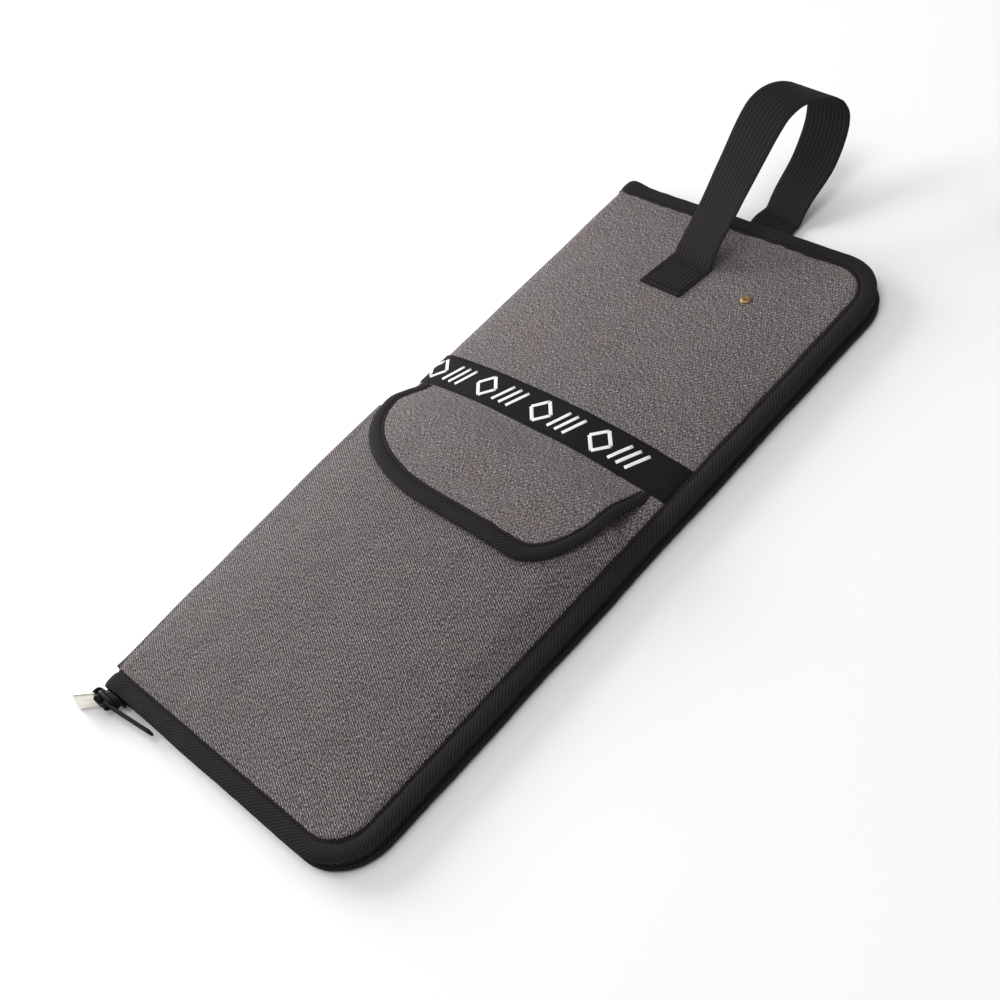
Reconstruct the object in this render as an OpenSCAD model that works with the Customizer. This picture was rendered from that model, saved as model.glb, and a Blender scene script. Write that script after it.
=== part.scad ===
// Folding drum stick bag: two padded covers on a fabric spine, zipped round three sides,
// with a flapped front pocket, a webbing handle and sleeves for sticks inside.
// The back cover lies on the plane z = 0. +X runs from the spine to the zipper side,
// +Y to the handle end and +Z up through the closed bag.

/* [Bag] */
// Width of the closed bag, from spine to zipper side
bag_w = 212; // [206:1:220]
// Length of the closed bag
bag_l = 460; // [450:1:480]
// Thickness of the closed bag at its bound rims
rim_t = 14; // [14:0.5:16]
// Height that the padded front stands above its rims
dome_h = 9; // [9:0.5:11]
// Radius of the zipper-side corner away from the handle
corner_r = 32; // [28:1:34]
// Radius of the zipper-side corner at the handle end
corner_top_r = 37; // [30:1:40]

/* [Binding] */
// Width of the edge binding that shows on each face
tape_w = 12; // [11:0.5:13]
// Thickness of the binding tape
tape_t = 0.8; // [0.6:0.1:1]

/* [Front pocket] */
// Distance of the pocket's mouth from the middle of the bag, towards the handle
mouth_y = -2; // [-10:1:4]
// Depth of the pocket's space at its mouth
pocket_gap = 5.5; // [5.5:0.5:7]
// Width of the flap
flap_w = 184; // [170:1:186]
// Length of the flap below the trim band
flap_l = 79; // [70:1:84]
// Radius of the flap's corners
flap_r = 48; // [40:1:54]
// Width of the trim band
band_w = 25; // [20:1:28]

/* [Handle] */
// Width of the handle webbing
web_w = 32; // [25:1:38]
// Thickness of the handle webbing
web_t = 1.6; // [1.2:0.1:2]

/* [Inside] */
// Number of stick sleeves
sleeves = 3; // [2:1:4]
// Width of one stick sleeve
sleeve_w = 56; // [40:1:56]
// Depth of the space in a sleeve
sleeve_gap = 4.6; // [4.4:0.1:4.8]

/* [Hidden] */
$fn = 48;

half_w = bag_w / 2;
half_l = bag_l / 2;
mid_z = rim_t / 2;
clear = 0.02;      // between layers that are sewn together
loose = 0.4;       // between pieces that move apart
shell_t = 1.2;     // outer fabric
lining_t = 0.6;    // inner fabric
foam_t = 3;        // padding
cover_t = shell_t + foam_t + lining_t;
rim_in = tape_w + 0.3;             // where the outer fabric comes out of the binding
spine_r = mid_z;                   // outer radius of the rounded spine
spine_x = -half_w + spine_r;       // where the flat of a cover meets the spine
front_z = rim_t;                   // outer face of the front cover at its rim
front_in_z = rim_t - cover_t;      // inner face of the front cover at its rim
rim_bind_t = 5;                    // thickness of a bound rim

// Dome of the front cover
dome_x = -4;
dome_half_w = half_w - tape_w + 4;
dome_half_l = half_l - tape_w;
function bump(u, power) = max(0, 1 - pow(abs(u), power));
function dome(x, y) = dome_h * bump((x - dome_x) / dome_half_w, 2.5) * bump(y / dome_half_l, 3.5);

// Front pocket: how far its panel stands off the cover
pocket_x0 = -half_w + 0.5;
pocket_side = 5;                   // width over which its spine side rises
pocket_x1 = half_w - rim_in;
pocket_y0 = -half_l + rim_in;
function rise(d, run) = let (u = min(1, max(0, d / run))) u * u * (3 - 2 * u);
function puff(x, y) = pocket_gap * rise(x - pocket_x0, pocket_side) * rise(pocket_x1 - x, 14)
    * rise(y - pocket_y0, 190) * rise(y - pocket_y0, 12);
function shoulder(x) = x < spine_x ? spine_r - sqrt(max(0, pow(spine_r, 2) - pow(spine_x - x, 2))) : 0;
function front_top(x, y) = front_z + dome(x, y) - shoulder(x);
panel_t = 0.8;

// Flap
flap_x = -3;
flap_y = 28;
flap_t = 1.6;
flap_lift = 2;
flap_tape_w = 11;
function flap_under(x, y) = front_top(x, y) + loose + rise(flap_y - 3 - y, 24)
    * (panel_t + flap_lift + pocket_gap * rise(x - pocket_x0, pocket_side) * rise(pocket_x1 + 10 - x, 14));

// Inner pocket of the front cover
inner_x0 = -50;
inner_x1 = 42;
inner_y0 = -110;
inner_y1 = 60;
inner_gap = 4.7;

// Stick sleeves
sleeve_x0 = -88;
sleeve_y0 = -190;
sleeve_y1 = 70;

// Zipper, measured in from the edge of the bag
zip_in = 3;
coil_w = 1.4;
slider_x = -94;
slider_l = 14;
pull_x = -97;
pull_y = -half_l - 7.8;
pull_l = 41;
pull_turn = 6;
wire_r = 0.8;

// Rivets and hanging straps
rivet_x = 42;
rivet_y = 168;
rivet_r = 1.5;
rivet_hole_r = 1.6;
rivet_cap_r = 3.4;
run = 0.08;        // running clearance round a rivet's post or a wire
strap_w = 15;
strap_l = 60;
strap_t = 0.8;
hook_r = 0.9;
hook_shank = 16;
hook_bend_r = 6;
strap_back_z = cover_t + 0.1;
strap_front_z = 11.9;

// Handle: points [x, y, z, yaw, roll] along the middle of the webbing, from the front cover over the
// crown and down to the back. Yaw and roll turn the webbing's width away from +X.
function on_front(x, y) = front_z + dome(x, y) + 0.1 + web_t / 2;
front_leg = [
    [-10.3, 151.4, on_front(-10.3, 151.4), -2, 0], [-9.7, 160.5, on_front(-9.7, 160.5), -3.5, 0],
    [-9, 169.5, on_front(-9, 169.5), -5, 0], [-8.3, 177, on_front(-8.3, 177) + 0.2, -7, 0],
    [-7.6, 184, 23.5, -8.5, 2.5], [-6.7, 192.8, 30.1, -10, 4.5], [-5.2, 203.7, 38.1, -10, 4],
    [-3.7, 214.5, 46.4, -10, 2.5], [-1.5, 228.4, 57.5, -8, 0], [0.7, 242.4, 68.6, -6, -3.5],
    [2, 249.6, 74, -5, -5], [3.1, 257.5, 78, -5, -6], [4.2, 266.4, 79.6, -5, -6], [4.8, 275.3, 77.8, -5, -6],
    [5.2, 283.7, 73.8, -5, -5], [5.5, 291.6, 68.4, -4, -4], [5.8, 297.9, 62.5, -3, -2.5]
];
rear_leg = [
    [5.8, 301.9, 57.2, -2, -1.5], [5.8, 304.8, 47.2, -1, -1], [5.7, 302.2, 38.7, 0, -1],
    [5.7, 296.4, 31.4, 0, -1], [5.7, 289.3, 25.3, 0, -1], [5.7, 281.7, 20.2, -1, -0.5],
    [5.2, 273.5, 15.9, -4, 0.5], [4.6, 264.8, 12.2, -7, 2], [3.7, 257, 7.6, -11, 2],
    [3.1, 250.6, 2.9, -12, 1], [3, 246, 3, -9, 0], [3, 241, 2.9, -4, 0], [3, 236, 1.9, 0, 0], [3, 232, 1.05, 0, 0]
];
tab_x = 3;
tab_y0 = 156;
tab_y1 = 231.9;

// ---------------------------------------------------------------- outlines and sheets

// Radius of the rounded corner at the end of the bag where y is
function corner(y) = y > 0 ? corner_top_r : corner_r;

// Outline of a cover, inset from its three zipped edges and starting at x0 on the spine side
module outline(inset, x0 = spine_x) {
    for (side = [-1, 1]) {
        r = corner(side);
        cx = half_w - r;
        cy = half_l - r;
        translate([x0, side > 0 ? -1 : inset - half_l]) square([cx - x0, half_l - inset + 1]);
        translate([x0, side > 0 ? -1 : -cy]) square([half_w - inset - x0, cy + 1]);
        translate([cx, side * cy]) circle(r = r - inset);
    }
}

module slab(z0, z1, inset, x0 = spine_x) {
    translate([0, 0, z0]) linear_extrude(z1 - z0) outline(inset, x0);
}

// Band that follows the three zipped edges, between two insets
module edge_ring(z0, z1, inset0, inset1, x0 = spine_x) {
    translate([0, 0, z0]) linear_extrude(z1 - z0) difference() {
        outline(inset0, x0);
        outline(inset1, x0 - 10);
    }
}

// Right-hand end of a row of the cover's outline at y, at an inset
function edge_x(y, inset) =
    let (r = corner(y) - inset, d = max(0, abs(y) - half_l + corner(y)))
    half_w - corner(y) + (d > 0 ? sqrt(max(0, r * r - d * d)) : r);

// Solid between two height functions over rows of points; rows[j][i] = [x, y]
module sheet(rows, low, high) {
    nj = len(rows);
    ni = len(rows[0]);
    points = [
        for (f = [low, high]) for (row = rows) for (p = row) [p[0], p[1], f(p[0], p[1])]
    ];
    function at(layer, j, i) = layer * nj * ni + j * ni + i;
    faces = [
        for (j = [0:nj - 2]) for (i = [0:ni - 2]) each [
            [at(0, j, i), at(0, j, i + 1), at(0, j + 1, i + 1)],
            [at(0, j, i), at(0, j + 1, i + 1), at(0, j + 1, i)],
            [at(1, j, i), at(1, j + 1, i + 1), at(1, j, i + 1)],
            [at(1, j, i), at(1, j + 1, i), at(1, j + 1, i + 1)]
        ],
        for (j = [0:nj - 2]) each [
            [at(0, j, 0), at(0, j + 1, 0), at(1, j + 1, 0)],
            [at(0, j, 0), at(1, j + 1, 0), at(1, j, 0)],
            [at(0, j, ni - 1), at(1, j + 1, ni - 1), at(0, j + 1, ni - 1)],
            [at(0, j, ni - 1), at(1, j, ni - 1), at(1, j + 1, ni - 1)]
        ],
        for (i = [0:ni - 2]) each [
            [at(0, 0, i), at(1, 0, i + 1), at(0, 0, i + 1)],
            [at(0, 0, i), at(1, 0, i), at(1, 0, i + 1)],
            [at(0, nj - 1, i), at(0, nj - 1, i + 1), at(1, nj - 1, i + 1)],
            [at(0, nj - 1, i), at(1, nj - 1, i + 1), at(1, nj - 1, i)]
        ]
    ];
    polyhedron(points, faces, convexity = 6);
}

function span(a, b, n) = [for (i = [0:n]) a + (b - a) * i / n];
function grid(xs, ys) = [for (y = ys) [for (x = xs) [x, y]]];

// Rows of points that fill a cover's outline at an inset
function cover_rows(inset, nx, ny) =
    let (
        bottom = [for (a = [90:-22.5:1]) corner_r - half_l - (corner_r - inset) * sin(a)],
        top = [for (a = [22.5:22.5:90]) half_l - corner_top_r + (corner_top_r - inset) * sin(a)]
    )
    [
        for (y = concat(bottom, span(corner_r - half_l, half_l - corner_top_r, ny), top))
        [for (x = span(spine_x, edge_x(y, inset), nx)) [x, y]]
    ];

// Quarter of the rounded spine: top = 1 for the front cover's half, -1 for the back's
module spine_quarter(top, r_out, r_in, y0, y1) {
    translate([spine_x, y1, mid_z]) rotate([90, 0, 0]) linear_extrude(y1 - y0)
        intersection() {
            difference() {
                circle(r = r_out);
                circle(r = r_in);
            }
            translate([-rim_t, top > 0 ? 0.2 : -rim_t]) square([rim_t, rim_t - 0.2]);
        }
}

module spine_foam(top) {
    y = half_l - rim_in - 2.2;
    spine_quarter(top, spine_r - shell_t - 3 * clear, spine_r - shell_t - foam_t + 2 * clear, -y, y);
}

// ---------------------------------------------------------------- back cover

module rivet_hole() {
    translate([rivet_x, rivet_y, -1]) cylinder(r = rivet_hole_r, h = rim_t + 20);
}

// Recess under the back cover for the handle's sewn end
module tab_recess() {
    translate([tab_x - web_w / 2 - 0.3, tab_y0 - 2, -1]) cube([web_w + 0.6, 90, 2.72]);
}

module back_shell() {
    color("dimgray") difference() {
        union() {
            slab(0, shell_t, rim_in);
            edge_ring(tape_t + clear, 2.4, tape_t + clear, rim_in + 2);
            spine_quarter(-1, spine_r, spine_r - shell_t, -half_l + rim_in, half_l - rim_in);
        }
        tab_recess();
        rivet_hole();
        translate([rivet_x, rivet_y, -1]) cylinder(r = 4.2, h = 2);
        translate([-half_w, flap_y - 0.1, -1]) cube([bag_w, band_w + 0.2, 1.5]);
    }
}

module back_foam() {
    color("white") difference() {
        union() {
            slab(shell_t + clear, shell_t + foam_t - clear, rim_in + 2.2);
            spine_foam(-1);
        }
        tab_recess();
        rivet_hole();
    }
}

module back_lining() {
    color("#222222") difference() {
        union() {
            slab(shell_t + foam_t, cover_t, rim_in);
            edge_ring(2.4 + clear, rim_bind_t - tape_t - clear, tape_t + clear, rim_in + 0.5);
            edge_ring(rim_bind_t - tape_t - 0.2, shell_t + foam_t + 0.2, rim_in + 0.1, rim_in + 0.4);
            spine_quarter(-1, spine_r - shell_t - foam_t, spine_r - cover_t, -half_l + rim_in, half_l - rim_in);
        }
        rivet_hole();
    }
}

// U-shaped tape round a rim; z0 is its lower face
module binding(z0, top) {
    difference() {
        edge_ring(z0, z0 + rim_bind_t, 0, tape_w);
        slab(z0 + tape_t, z0 + rim_bind_t - tape_t, tape_t);
    }
    for (side = [-1, 1]) {
        y = side * (half_l - tape_w / 2);
        spine_quarter(top, spine_r, spine_r - 2.4, y - tape_w / 2, y + tape_w / 2);
    }
}

module back_binding() {
    color("#1b1b1b") difference() {
        binding(0, -1);
        tab_recess();
    }
}

// One half of the zipper's tape: flat under the binding, then turned towards the coil
module zip_tape(z0, z1, turn0, turn1) {
    edge_ring(z0, z1, zip_in, tape_w - 1);
    edge_ring(turn0, turn1, zip_in, zip_in + 0.5);
}

module back_zip_tape() {
    color("#101010")
        zip_tape(rim_bind_t + clear, rim_bind_t + 0.5, rim_bind_t + clear, mid_z - 0.5);
}

module back_zip_coil() {
    color("#050505") edge_ring(mid_z - 1.2, mid_z - 0.4, zip_in - coil_w, zip_in - clear);
}

// Columns of a pocket from x0 to x1 whose sides rise over the width called edge
function pocket_xs(x0, x1, edge) =
    concat(span(x0, x0 + edge, 3), span(x0 + edge + 4, x1 - edge - 4, 2), span(x1 - edge, x1, 3));

sleeve_xs = [
    for (k = [0:sleeves - 1])
    for (x = pocket_xs(sleeve_x0 + k * sleeve_w, sleeve_x0 + (k + 1) * sleeve_w, 8))
    if (k == 0 || x > sleeve_x0 + k * sleeve_w + 0.01) x
];

function sleeve_rise(x, y) =
    let (u = (x - sleeve_x0) / sleeve_w, d = sleeve_w * min(u - floor(u), ceil(u) - u))
    sleeve_gap * rise(d, 8) * rise(y - sleeve_y0, 8);

module stick_pocket() {
    rows = grid(sleeve_xs, concat(span(sleeve_y0, sleeve_y0 + 8, 3), [sleeve_y1]));
    color("#2a2a2a") sheet(rows,
        function (x, y) cover_t + clear + sleeve_rise(x, y),
        function (x, y) cover_t + clear + sleeve_rise(x, y) + panel_t);
}

module stick_pocket_tape() {
    rows = grid(sleeve_xs, [sleeve_y1 + clear, sleeve_y1 + 8]);
    color("#1b1b1b") sheet(rows,
        function (x, y) cover_t + clear + sleeve_rise(x, y),
        function (x, y) cover_t + clear + sleeve_rise(x, y) + panel_t + 0.4);
}

module band_back() {
    color("#181818") {
        translate([spine_x, flap_y, 0]) cube([edge_x(0, rim_in) - spine_x, band_w, 0.48]);
    }
}

// Flat cap sunk in the outer fabric, post through the cover and the strap, and inner burr
module rivet_back() {
    burr_z = strap_back_z + strap_t + 0.2;
    color("#b08d4f") translate([rivet_x, rivet_y, 0.05]) {
        cylinder(r = 4, h = 0.9);
        cylinder(r = rivet_r, h = burr_z);
        translate([0, 0, burr_z]) cylinder(r = 3, h = 0.8);
    }
}

// ---------------------------------------------------------------- front cover

module front_shell() {
    rows = cover_rows(rim_in, 10, 14);
    color("dimgray") difference() {
        union() {
            sheet(rows,
                function (x, y) front_z + dome(x, y) - shell_t,
                function (x, y) front_z + dome(x, y));
            edge_ring(rim_t - 2.4, rim_t - tape_t - clear, tape_t + clear, rim_in + 2);
            spine_quarter(1, spine_r, spine_r - shell_t, -half_l + rim_in, half_l - rim_in);
        }
        rivet_hole();
    }
}

module front_foam() {
    color("white") difference() {
        union() {
            sheet(cover_rows(rim_in + 2.2, 10, 14),
                function (x, y) front_in_z + lining_t + clear + dome(x, y),
                function (x, y) front_z - shell_t - 0.06 + dome(x, y));
            spine_foam(1);
        }
        rivet_hole();
    }
}

module front_lining() {
    color("#222222") difference() {
        union() {
            sheet(cover_rows(rim_in, 10, 14),
                function (x, y) front_in_z + dome(x, y),
                function (x, y) front_in_z + lining_t - 0.06 + dome(x, y));
            edge_ring(rim_t - rim_bind_t + tape_t + clear, rim_t - 2.4 - clear, tape_t + clear, rim_in + 0.5);
            edge_ring(front_in_z + lining_t - 0.2, rim_t - rim_bind_t + tape_t + 0.2, rim_in + 0.1, rim_in + 0.4);
            spine_quarter(1, spine_r - shell_t - foam_t, spine_r - cover_t, -half_l + rim_in, half_l - rim_in);
        }
        rivet_hole();
    }
}

module front_binding() {
    color("#1b1b1b") binding(rim_t - rim_bind_t, 1);
}

module front_zip_tape() {
    color("#101010")
        zip_tape(rim_t - rim_bind_t - 0.5, rim_t - rim_bind_t - clear, mid_z + 0.5, rim_t - rim_bind_t - clear);
}

module front_zip_coil() {
    color("#050505") edge_ring(mid_z + 0.4, mid_z + 1.2, zip_in - coil_w, zip_in - clear);
}

pocket_cols = concat(span(pocket_x0, pocket_x0 + pocket_side, 4), span(pocket_x0 + 22, pocket_x1 - 24, 6),
    span(pocket_x1 - 14, pocket_x1, 3));

// Rows of the pocket panel, whose zipper-side corner is rounded like the cover's
function pocket_rows(ys) = [
    for (y = ys)
    [for (x = pocket_cols) [pocket_x0 + (x - pocket_x0) * (edge_x(y, rim_in) - pocket_x0)
        / (pocket_x1 - pocket_x0), y]]
];

module front_pocket() {
    rows = pocket_rows(concat(span(pocket_y0, pocket_y0 + 12, 3), span(pocket_y0 + 30, mouth_y - 9, 7)));
    color("dimgray") sheet(rows,
        function (x, y) front_top(x, y) + 0.1 + puff(x, y),
        function (x, y) front_top(x, y) + 0.1 + panel_t + puff(x, y));
}

module front_pocket_hem() {
    color("#3a3a3a") sheet(pocket_rows([mouth_y - 8.98, mouth_y]),
        function (x, y) front_top(x, y) + 0.1 + puff(x, y),
        function (x, y) front_top(x, y) + 0.4 + panel_t + puff(x, y));
}

module pocket_hook_patch() {
    color("#111111") sheet(grid(span(-38, 30, 6), [-30, -12]),
        function (x, y) front_top(x, y) + 0.15 + panel_t + pocket_gap,
        function (x, y) front_top(x, y) + 0.85 + panel_t + pocket_gap);
}

module band_front() {
    xs = concat([for (a = [10:20:70]) spine_x - (spine_r + 0.05) * cos(a)], span(spine_x, pocket_x1, 12));
    color("#181818") sheet(grid(xs, [flap_y + clear, flap_y + band_w]),
        function (x, y) front_top(x, y) + 0.25,
        function (x, y) front_top(x, y) + 0.9);
}

module inner_pocket() {
    rows = grid(pocket_xs(inner_x0, inner_x1, 8), concat(span(inner_y0, inner_y0 + 8, 3), span(-60, inner_y1, 4)));
    color("#2a2a2a") sheet(rows,
        function (x, y) front_in_z - 0.05 - panel_t + dome(x, y) - inner_rise(x, y),
        function (x, y) front_in_z - 0.05 + dome(x, y) - inner_rise(x, y));
}

function inner_rise(x, y) =
    inner_gap * rise(x - inner_x0, 8) * rise(inner_x1 - x, 8) * rise(y - inner_y0, 8);

module inner_pocket_tape() {
    rows = grid(pocket_xs(inner_x0, inner_x1, 8), [inner_y1 + clear, inner_y1 + 8]);
    color("#1b1b1b") sheet(rows,
        function (x, y) front_in_z - 0.25 - panel_t + dome(x, y) - inner_rise(x, y),
        function (x, y) front_in_z - 0.05 + dome(x, y) - inner_rise(x, y));
}

rivet_top_z = front_z + dome(rivet_x, rivet_y);

module rivet_front() {
    color("#b08d4f") {
        translate([rivet_x, rivet_y, rivet_top_z + 0.3]) difference() {
            sphere(r = rivet_cap_r);
            translate([-5, -5, -10]) cube([10, 10, 10]);
            translate([-5, -5, 1.1]) cube([10, 10, 10]);
        }
        translate([rivet_x, rivet_y, strap_front_z - 0.4])
            cylinder(r = rivet_r, h = rivet_top_z - strap_front_z + 0.8);
        translate([rivet_x, rivet_y, strap_front_z - 1]) cylinder(r = 3, h = 0.8);
    }
}

// ---------------------------------------------------------------- flap

// Outline of the flap at an inset, as points from its root on one side round to the other
function flap_path(inset) =
    let (x0 = flap_x - flap_w / 2 + inset, x1 = flap_x + flap_w / 2 - inset, y0 = flap_y - flap_l + inset,
        r = flap_r - inset)
    concat(
        [for (y = span(flap_y - 0.5, y0 + r, 5)) [x0, y]],
        [for (a = [15:15:75]) [x0 + r - r * cos(a), y0 + r - r * sin(a)]],
        [for (x = span(x0 + r, x1 - r, 5)) [x, y0]],
        [for (a = [75:-15:15]) [x1 - r + r * cos(a), y0 + r - r * sin(a)]],
        [for (y = span(y0 + r, flap_y - 0.5, 5)) [x1, y]]
    );

module flap_panel() {
    inset = flap_tape_w + 0.1;
    left = [for (p = flap_path(inset)) if (p[0] < flap_x - flap_w / 2 + flap_r - 0.5) p];
    rows = [for (k = [len(left) - 1:-1:0]) [for (u = span(0, 1, 9))
        [left[k][0] + u * 2 * (flap_x - left[k][0]), left[k][1]]]];
    color("dimgray") sheet(rows,
        function (x, y) flap_under(x, y),
        function (x, y) flap_under(x, y) + flap_t);
}

module flap_binding() {
    outer = flap_path(0);
    inner = flap_path(flap_tape_w);
    color("#1b1b1b") sheet([outer, inner],
        function (x, y) flap_under(x, y) - 0.15,
        function (x, y) flap_under(x, y) + flap_t + 0.5);
}

module flap_loop_patch() {
    color("#111111") sheet(grid(span(-38, 30, 6), [-30, -12]),
        function (x, y) flap_under(x, y) - 0.9,
        function (x, y) flap_under(x, y) - 0.25);
}

// ---------------------------------------------------------------- handle

function middle(p) = [p[0], p[1], p[2]];
function along(path, i) =
    let (d = middle(path[min(len(path) - 1, i + 1)]) - middle(path[max(0, i - 1)])) d / norm(d);
function across(p) = [cos(p[3]) * cos(p[4]), sin(p[3]) * cos(p[4]), sin(p[4])];

// Webbing of constant width and thickness along a path of points [x, y, z, yaw, roll]
module webbing(path) {
    n = len(path);
    points = [
        for (i = [0:n - 1]) let (
            side = across(path[i]) * web_w / 2,
            face = cross(across(path[i]), along(path, i)),
            up = face / norm(face) * web_t / 2,
            c = middle(path[i])
        )
        each [c - side - up, c + side - up, c + side + up, c - side + up]
    ];
    faces = concat(
        [[0, 1, 2], [0, 2, 3]],
        [for (i = [0:n - 2]) for (k = [0:3]) let (a = 4 * i + k, b = 4 * i + (k + 1) % 4)
            each [[a, a + 4, b + 4], [a, b + 4, b]]],
        [[4 * n - 4, 4 * n - 2, 4 * n - 3], [4 * n - 4, 4 * n - 1, 4 * n - 2]]
    );
    polyhedron(points, faces, convexity = 6);
}

module handle_front() {
    color("#1e1e1e") webbing(front_leg);
}

module handle_rear() {
    color("#1e1e1e") webbing(rear_leg);
}

module handle_rear_tab() {
    color("#1e1e1e") translate([tab_x - web_w / 2, tab_y0, 0.1]) cube([web_w, tab_y1 - tab_y0, web_t]);
}

// ---------------------------------------------------------------- zipper hardware

// Plate in the X-Z plane with rounded corners; y is its inner face
module plate(x, y, l, t, h, r) {
    translate([x, y, mid_z]) rotate([90, 0, 0]) linear_extrude(t) {
        square([l - 2 * r, h], center = true);
        square([l, h - 2 * r], center = true);
        for (i = [-1, 1]) for (j = [-1, 1]) translate([i * (l / 2 - r), j * (h / 2 - r)]) circle(r = r);
    }
}

// Outer plate, neck between the rims, web between the coils, inner plate, crown and the pull's lug
module zip_slider() {
    y = -half_l;
    color("#0c0c0c") {
        plate(slider_x, y - 0.3, slider_l, 1.6, 8.8, 3);
        plate(slider_x, y + 1.3, slider_l - 1, 1.7, 3.2, 1.5);
        translate([slider_x - 2.5, y - 1, mid_z - 0.2]) cube([5, 5.6, 0.4]);
        translate([slider_x - 6, y + zip_in + 0.8, mid_z - 1.3]) cube([12, 0.8, 2.6]);
        plate(slider_x - 2.5, y - 1.8, 6, 1.8, 5, 2);
        plate(slider_x - 5, y - 3.5, 14, 2.6, 8, 3.2);
        translate([pull_x, pull_y, mid_z - 1.2]) difference() {
            union() {
                cylinder(r = 2.6, h = 2.4);
                translate([-2.6, 0, 0]) cube([5.2, 2.2, 2.4]);
            }
            translate([0, 0, -1]) cylinder(r = wire_r + run, h = 5);
        }
    }
}

module zip_pull() {
    rail = 2.4;
    bend = 1;
    color("#0c0c0c") translate([pull_x, pull_y, mid_z]) rotate([0, 0, pull_turn]) {
        translate([0, 0, -rail + bend]) cylinder(r = wire_r, h = 2 * (rail - bend));
        for (side = [-1, 1]) {
            translate([bend, 0, side * (rail - bend)]) rotate([90, 0, 0])
                rotate([0, 0, side > 0 ? 90 : 180]) rotate_extrude(angle = 90)
                translate([bend, 0]) circle(r = wire_r);
            translate([bend, 0, side * rail]) rotate([0, 90, 0])
                cylinder(r = wire_r, h = pull_l - bend - rail);
        }
        translate([pull_l - rail, 0, 0]) rotate([90, 0, 0]) rotate([0, 0, -90])
            rotate_extrude(angle = 180) translate([rail, 0]) circle(r = wire_r);
    }
}

// Free end of the zipper: out through the fold of the spine and round behind the slider's crown, as
// points on both sides of the tape, and the folded metal clip that closes it
tail_outer = [[-102.9, -half_l + 6], [-102.9, -232.1], [-107.7, -232.1], [-108.9, -233.2], [-108.9, -240.8]];
tail_inner = [[-107.8, -239.9], [-107.8, -233.7], [-107.2, -233.2], [-101.7, -233.2], [-101.7, -half_l + 6]];
clip_angle = 218.5;

module zip_tail() {
    color("#101010") translate([0, 0, mid_z - 1.8]) linear_extrude(3.6) polygon(concat(tail_outer, tail_inner));
}

module zip_end_clip() {
    color("#d8d4cc") translate([-104.9, -239.2, mid_z]) rotate([0, 0, clip_angle])
        translate([0, -1.2, -7]) cube([13.3, 2.4, 14]);
}

module zip_bottom_stop() {
    color("#0c0c0c") translate([spine_x + 2, half_l - zip_in, mid_z - 0.38]) cube([3, 1.4, 0.6]);
}

// ---------------------------------------------------------------- hanging straps

// Strap with its rivet hole at the origin and its other end sewn round a wire; it runs along -X,
// with its lower face at z = 0. The loop for the wire hangs below it when side = -1, above when 1.
loop_r = hook_r + run + strap_t;
loop_x = -strap_l + loop_r;
function loop_z(side) = side > 0 ? loop_r : strap_t - loop_r;

module strap(side) {
    difference() {
        union() {
            translate([loop_x, -strap_w / 2, 0]) cube([strap_l - loop_r + 6, strap_w, strap_t]);
            translate([loop_x, 0, loop_z(side)]) rotate([90, 0, 0])
                cylinder(r = loop_r, h = strap_w, center = true);
        }
        cylinder(r = rivet_r + run, h = 4 * strap_t, center = true);
        translate([loop_x, 0, loop_z(side)]) rotate([90, 0, 0])
            cylinder(r = hook_r + run, h = strap_w + 2, center = true);
    }
}

// Hook at the end of a strap: a bar through the loop, a flat yoke round the loop, and a wire hook
module strap_hook(side) {
    arm_y = strap_w / 2 + 0.5;
    arm_w = 2 * hook_r;
    neck_x = -loop_r - 0.5;
    translate([loop_x, 0, loop_z(side)]) {
        rotate([90, 0, 0]) cylinder(r = hook_r, h = 2 * arm_y + arm_w, center = true);
        for (way = [-1, 1])
            translate([neck_x - arm_w, way * (arm_y + arm_w / 2) - arm_w / 2, -0.8])
                cube([-neck_x + arm_w, arm_w, 1.6]);
        translate([neck_x - arm_w, -arm_y - arm_w / 2, -0.8]) cube([arm_w, 2 * arm_y + arm_w, 1.6]);
        translate([neck_x - arm_w / 2, 0, 0]) {
            rotate([0, -90, 0]) cylinder(r = hook_r, h = hook_shank);
            translate([-hook_shank, hook_bend_r, 0]) rotate([0, 0, 90])
                rotate_extrude(angle = 180) translate([hook_bend_r, 0]) circle(r = hook_r);
        }
    }
}

// The back cover's strap lies along the bag, the front cover's across it
module on_back_strap() { translate([rivet_x, rivet_y, strap_back_z]) rotate([0, 0, 90]) children(); }
module on_front_strap() { translate([rivet_x, rivet_y, strap_front_z]) children(); }

module strap_back() { color("#1e1e1e") on_back_strap() strap(1); }
module strap_back_hook() { color("#0c0c0c") on_back_strap() strap_hook(1); }
module strap_front() { color("#1e1e1e") on_front_strap() strap(-1); }
module strap_front_hook() { color("#0c0c0c") on_front_strap() strap_hook(-1); }

back_shell();
back_foam();
back_lining();
back_binding();
back_zip_tape();
back_zip_coil();
stick_pocket();
stick_pocket_tape();
band_back();
handle_rear();
handle_rear_tab();
rivet_back();
zip_tail();
zip_end_clip();
zip_bottom_stop();
front_shell();
front_foam();
front_lining();
front_binding();
front_zip_tape();
front_zip_coil();
front_pocket();
front_pocket_hem();
pocket_hook_patch();
band_front();
handle_front();
inner_pocket();
inner_pocket_tape();
rivet_front();
flap_panel();
flap_binding();
flap_loop_patch();
zip_slider();
zip_pull();
strap_back();
strap_back_hook();
strap_front();
strap_front_hook();
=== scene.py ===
import math

import bmesh
import bpy
from mathutils import Matrix, Vector, noise


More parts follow.
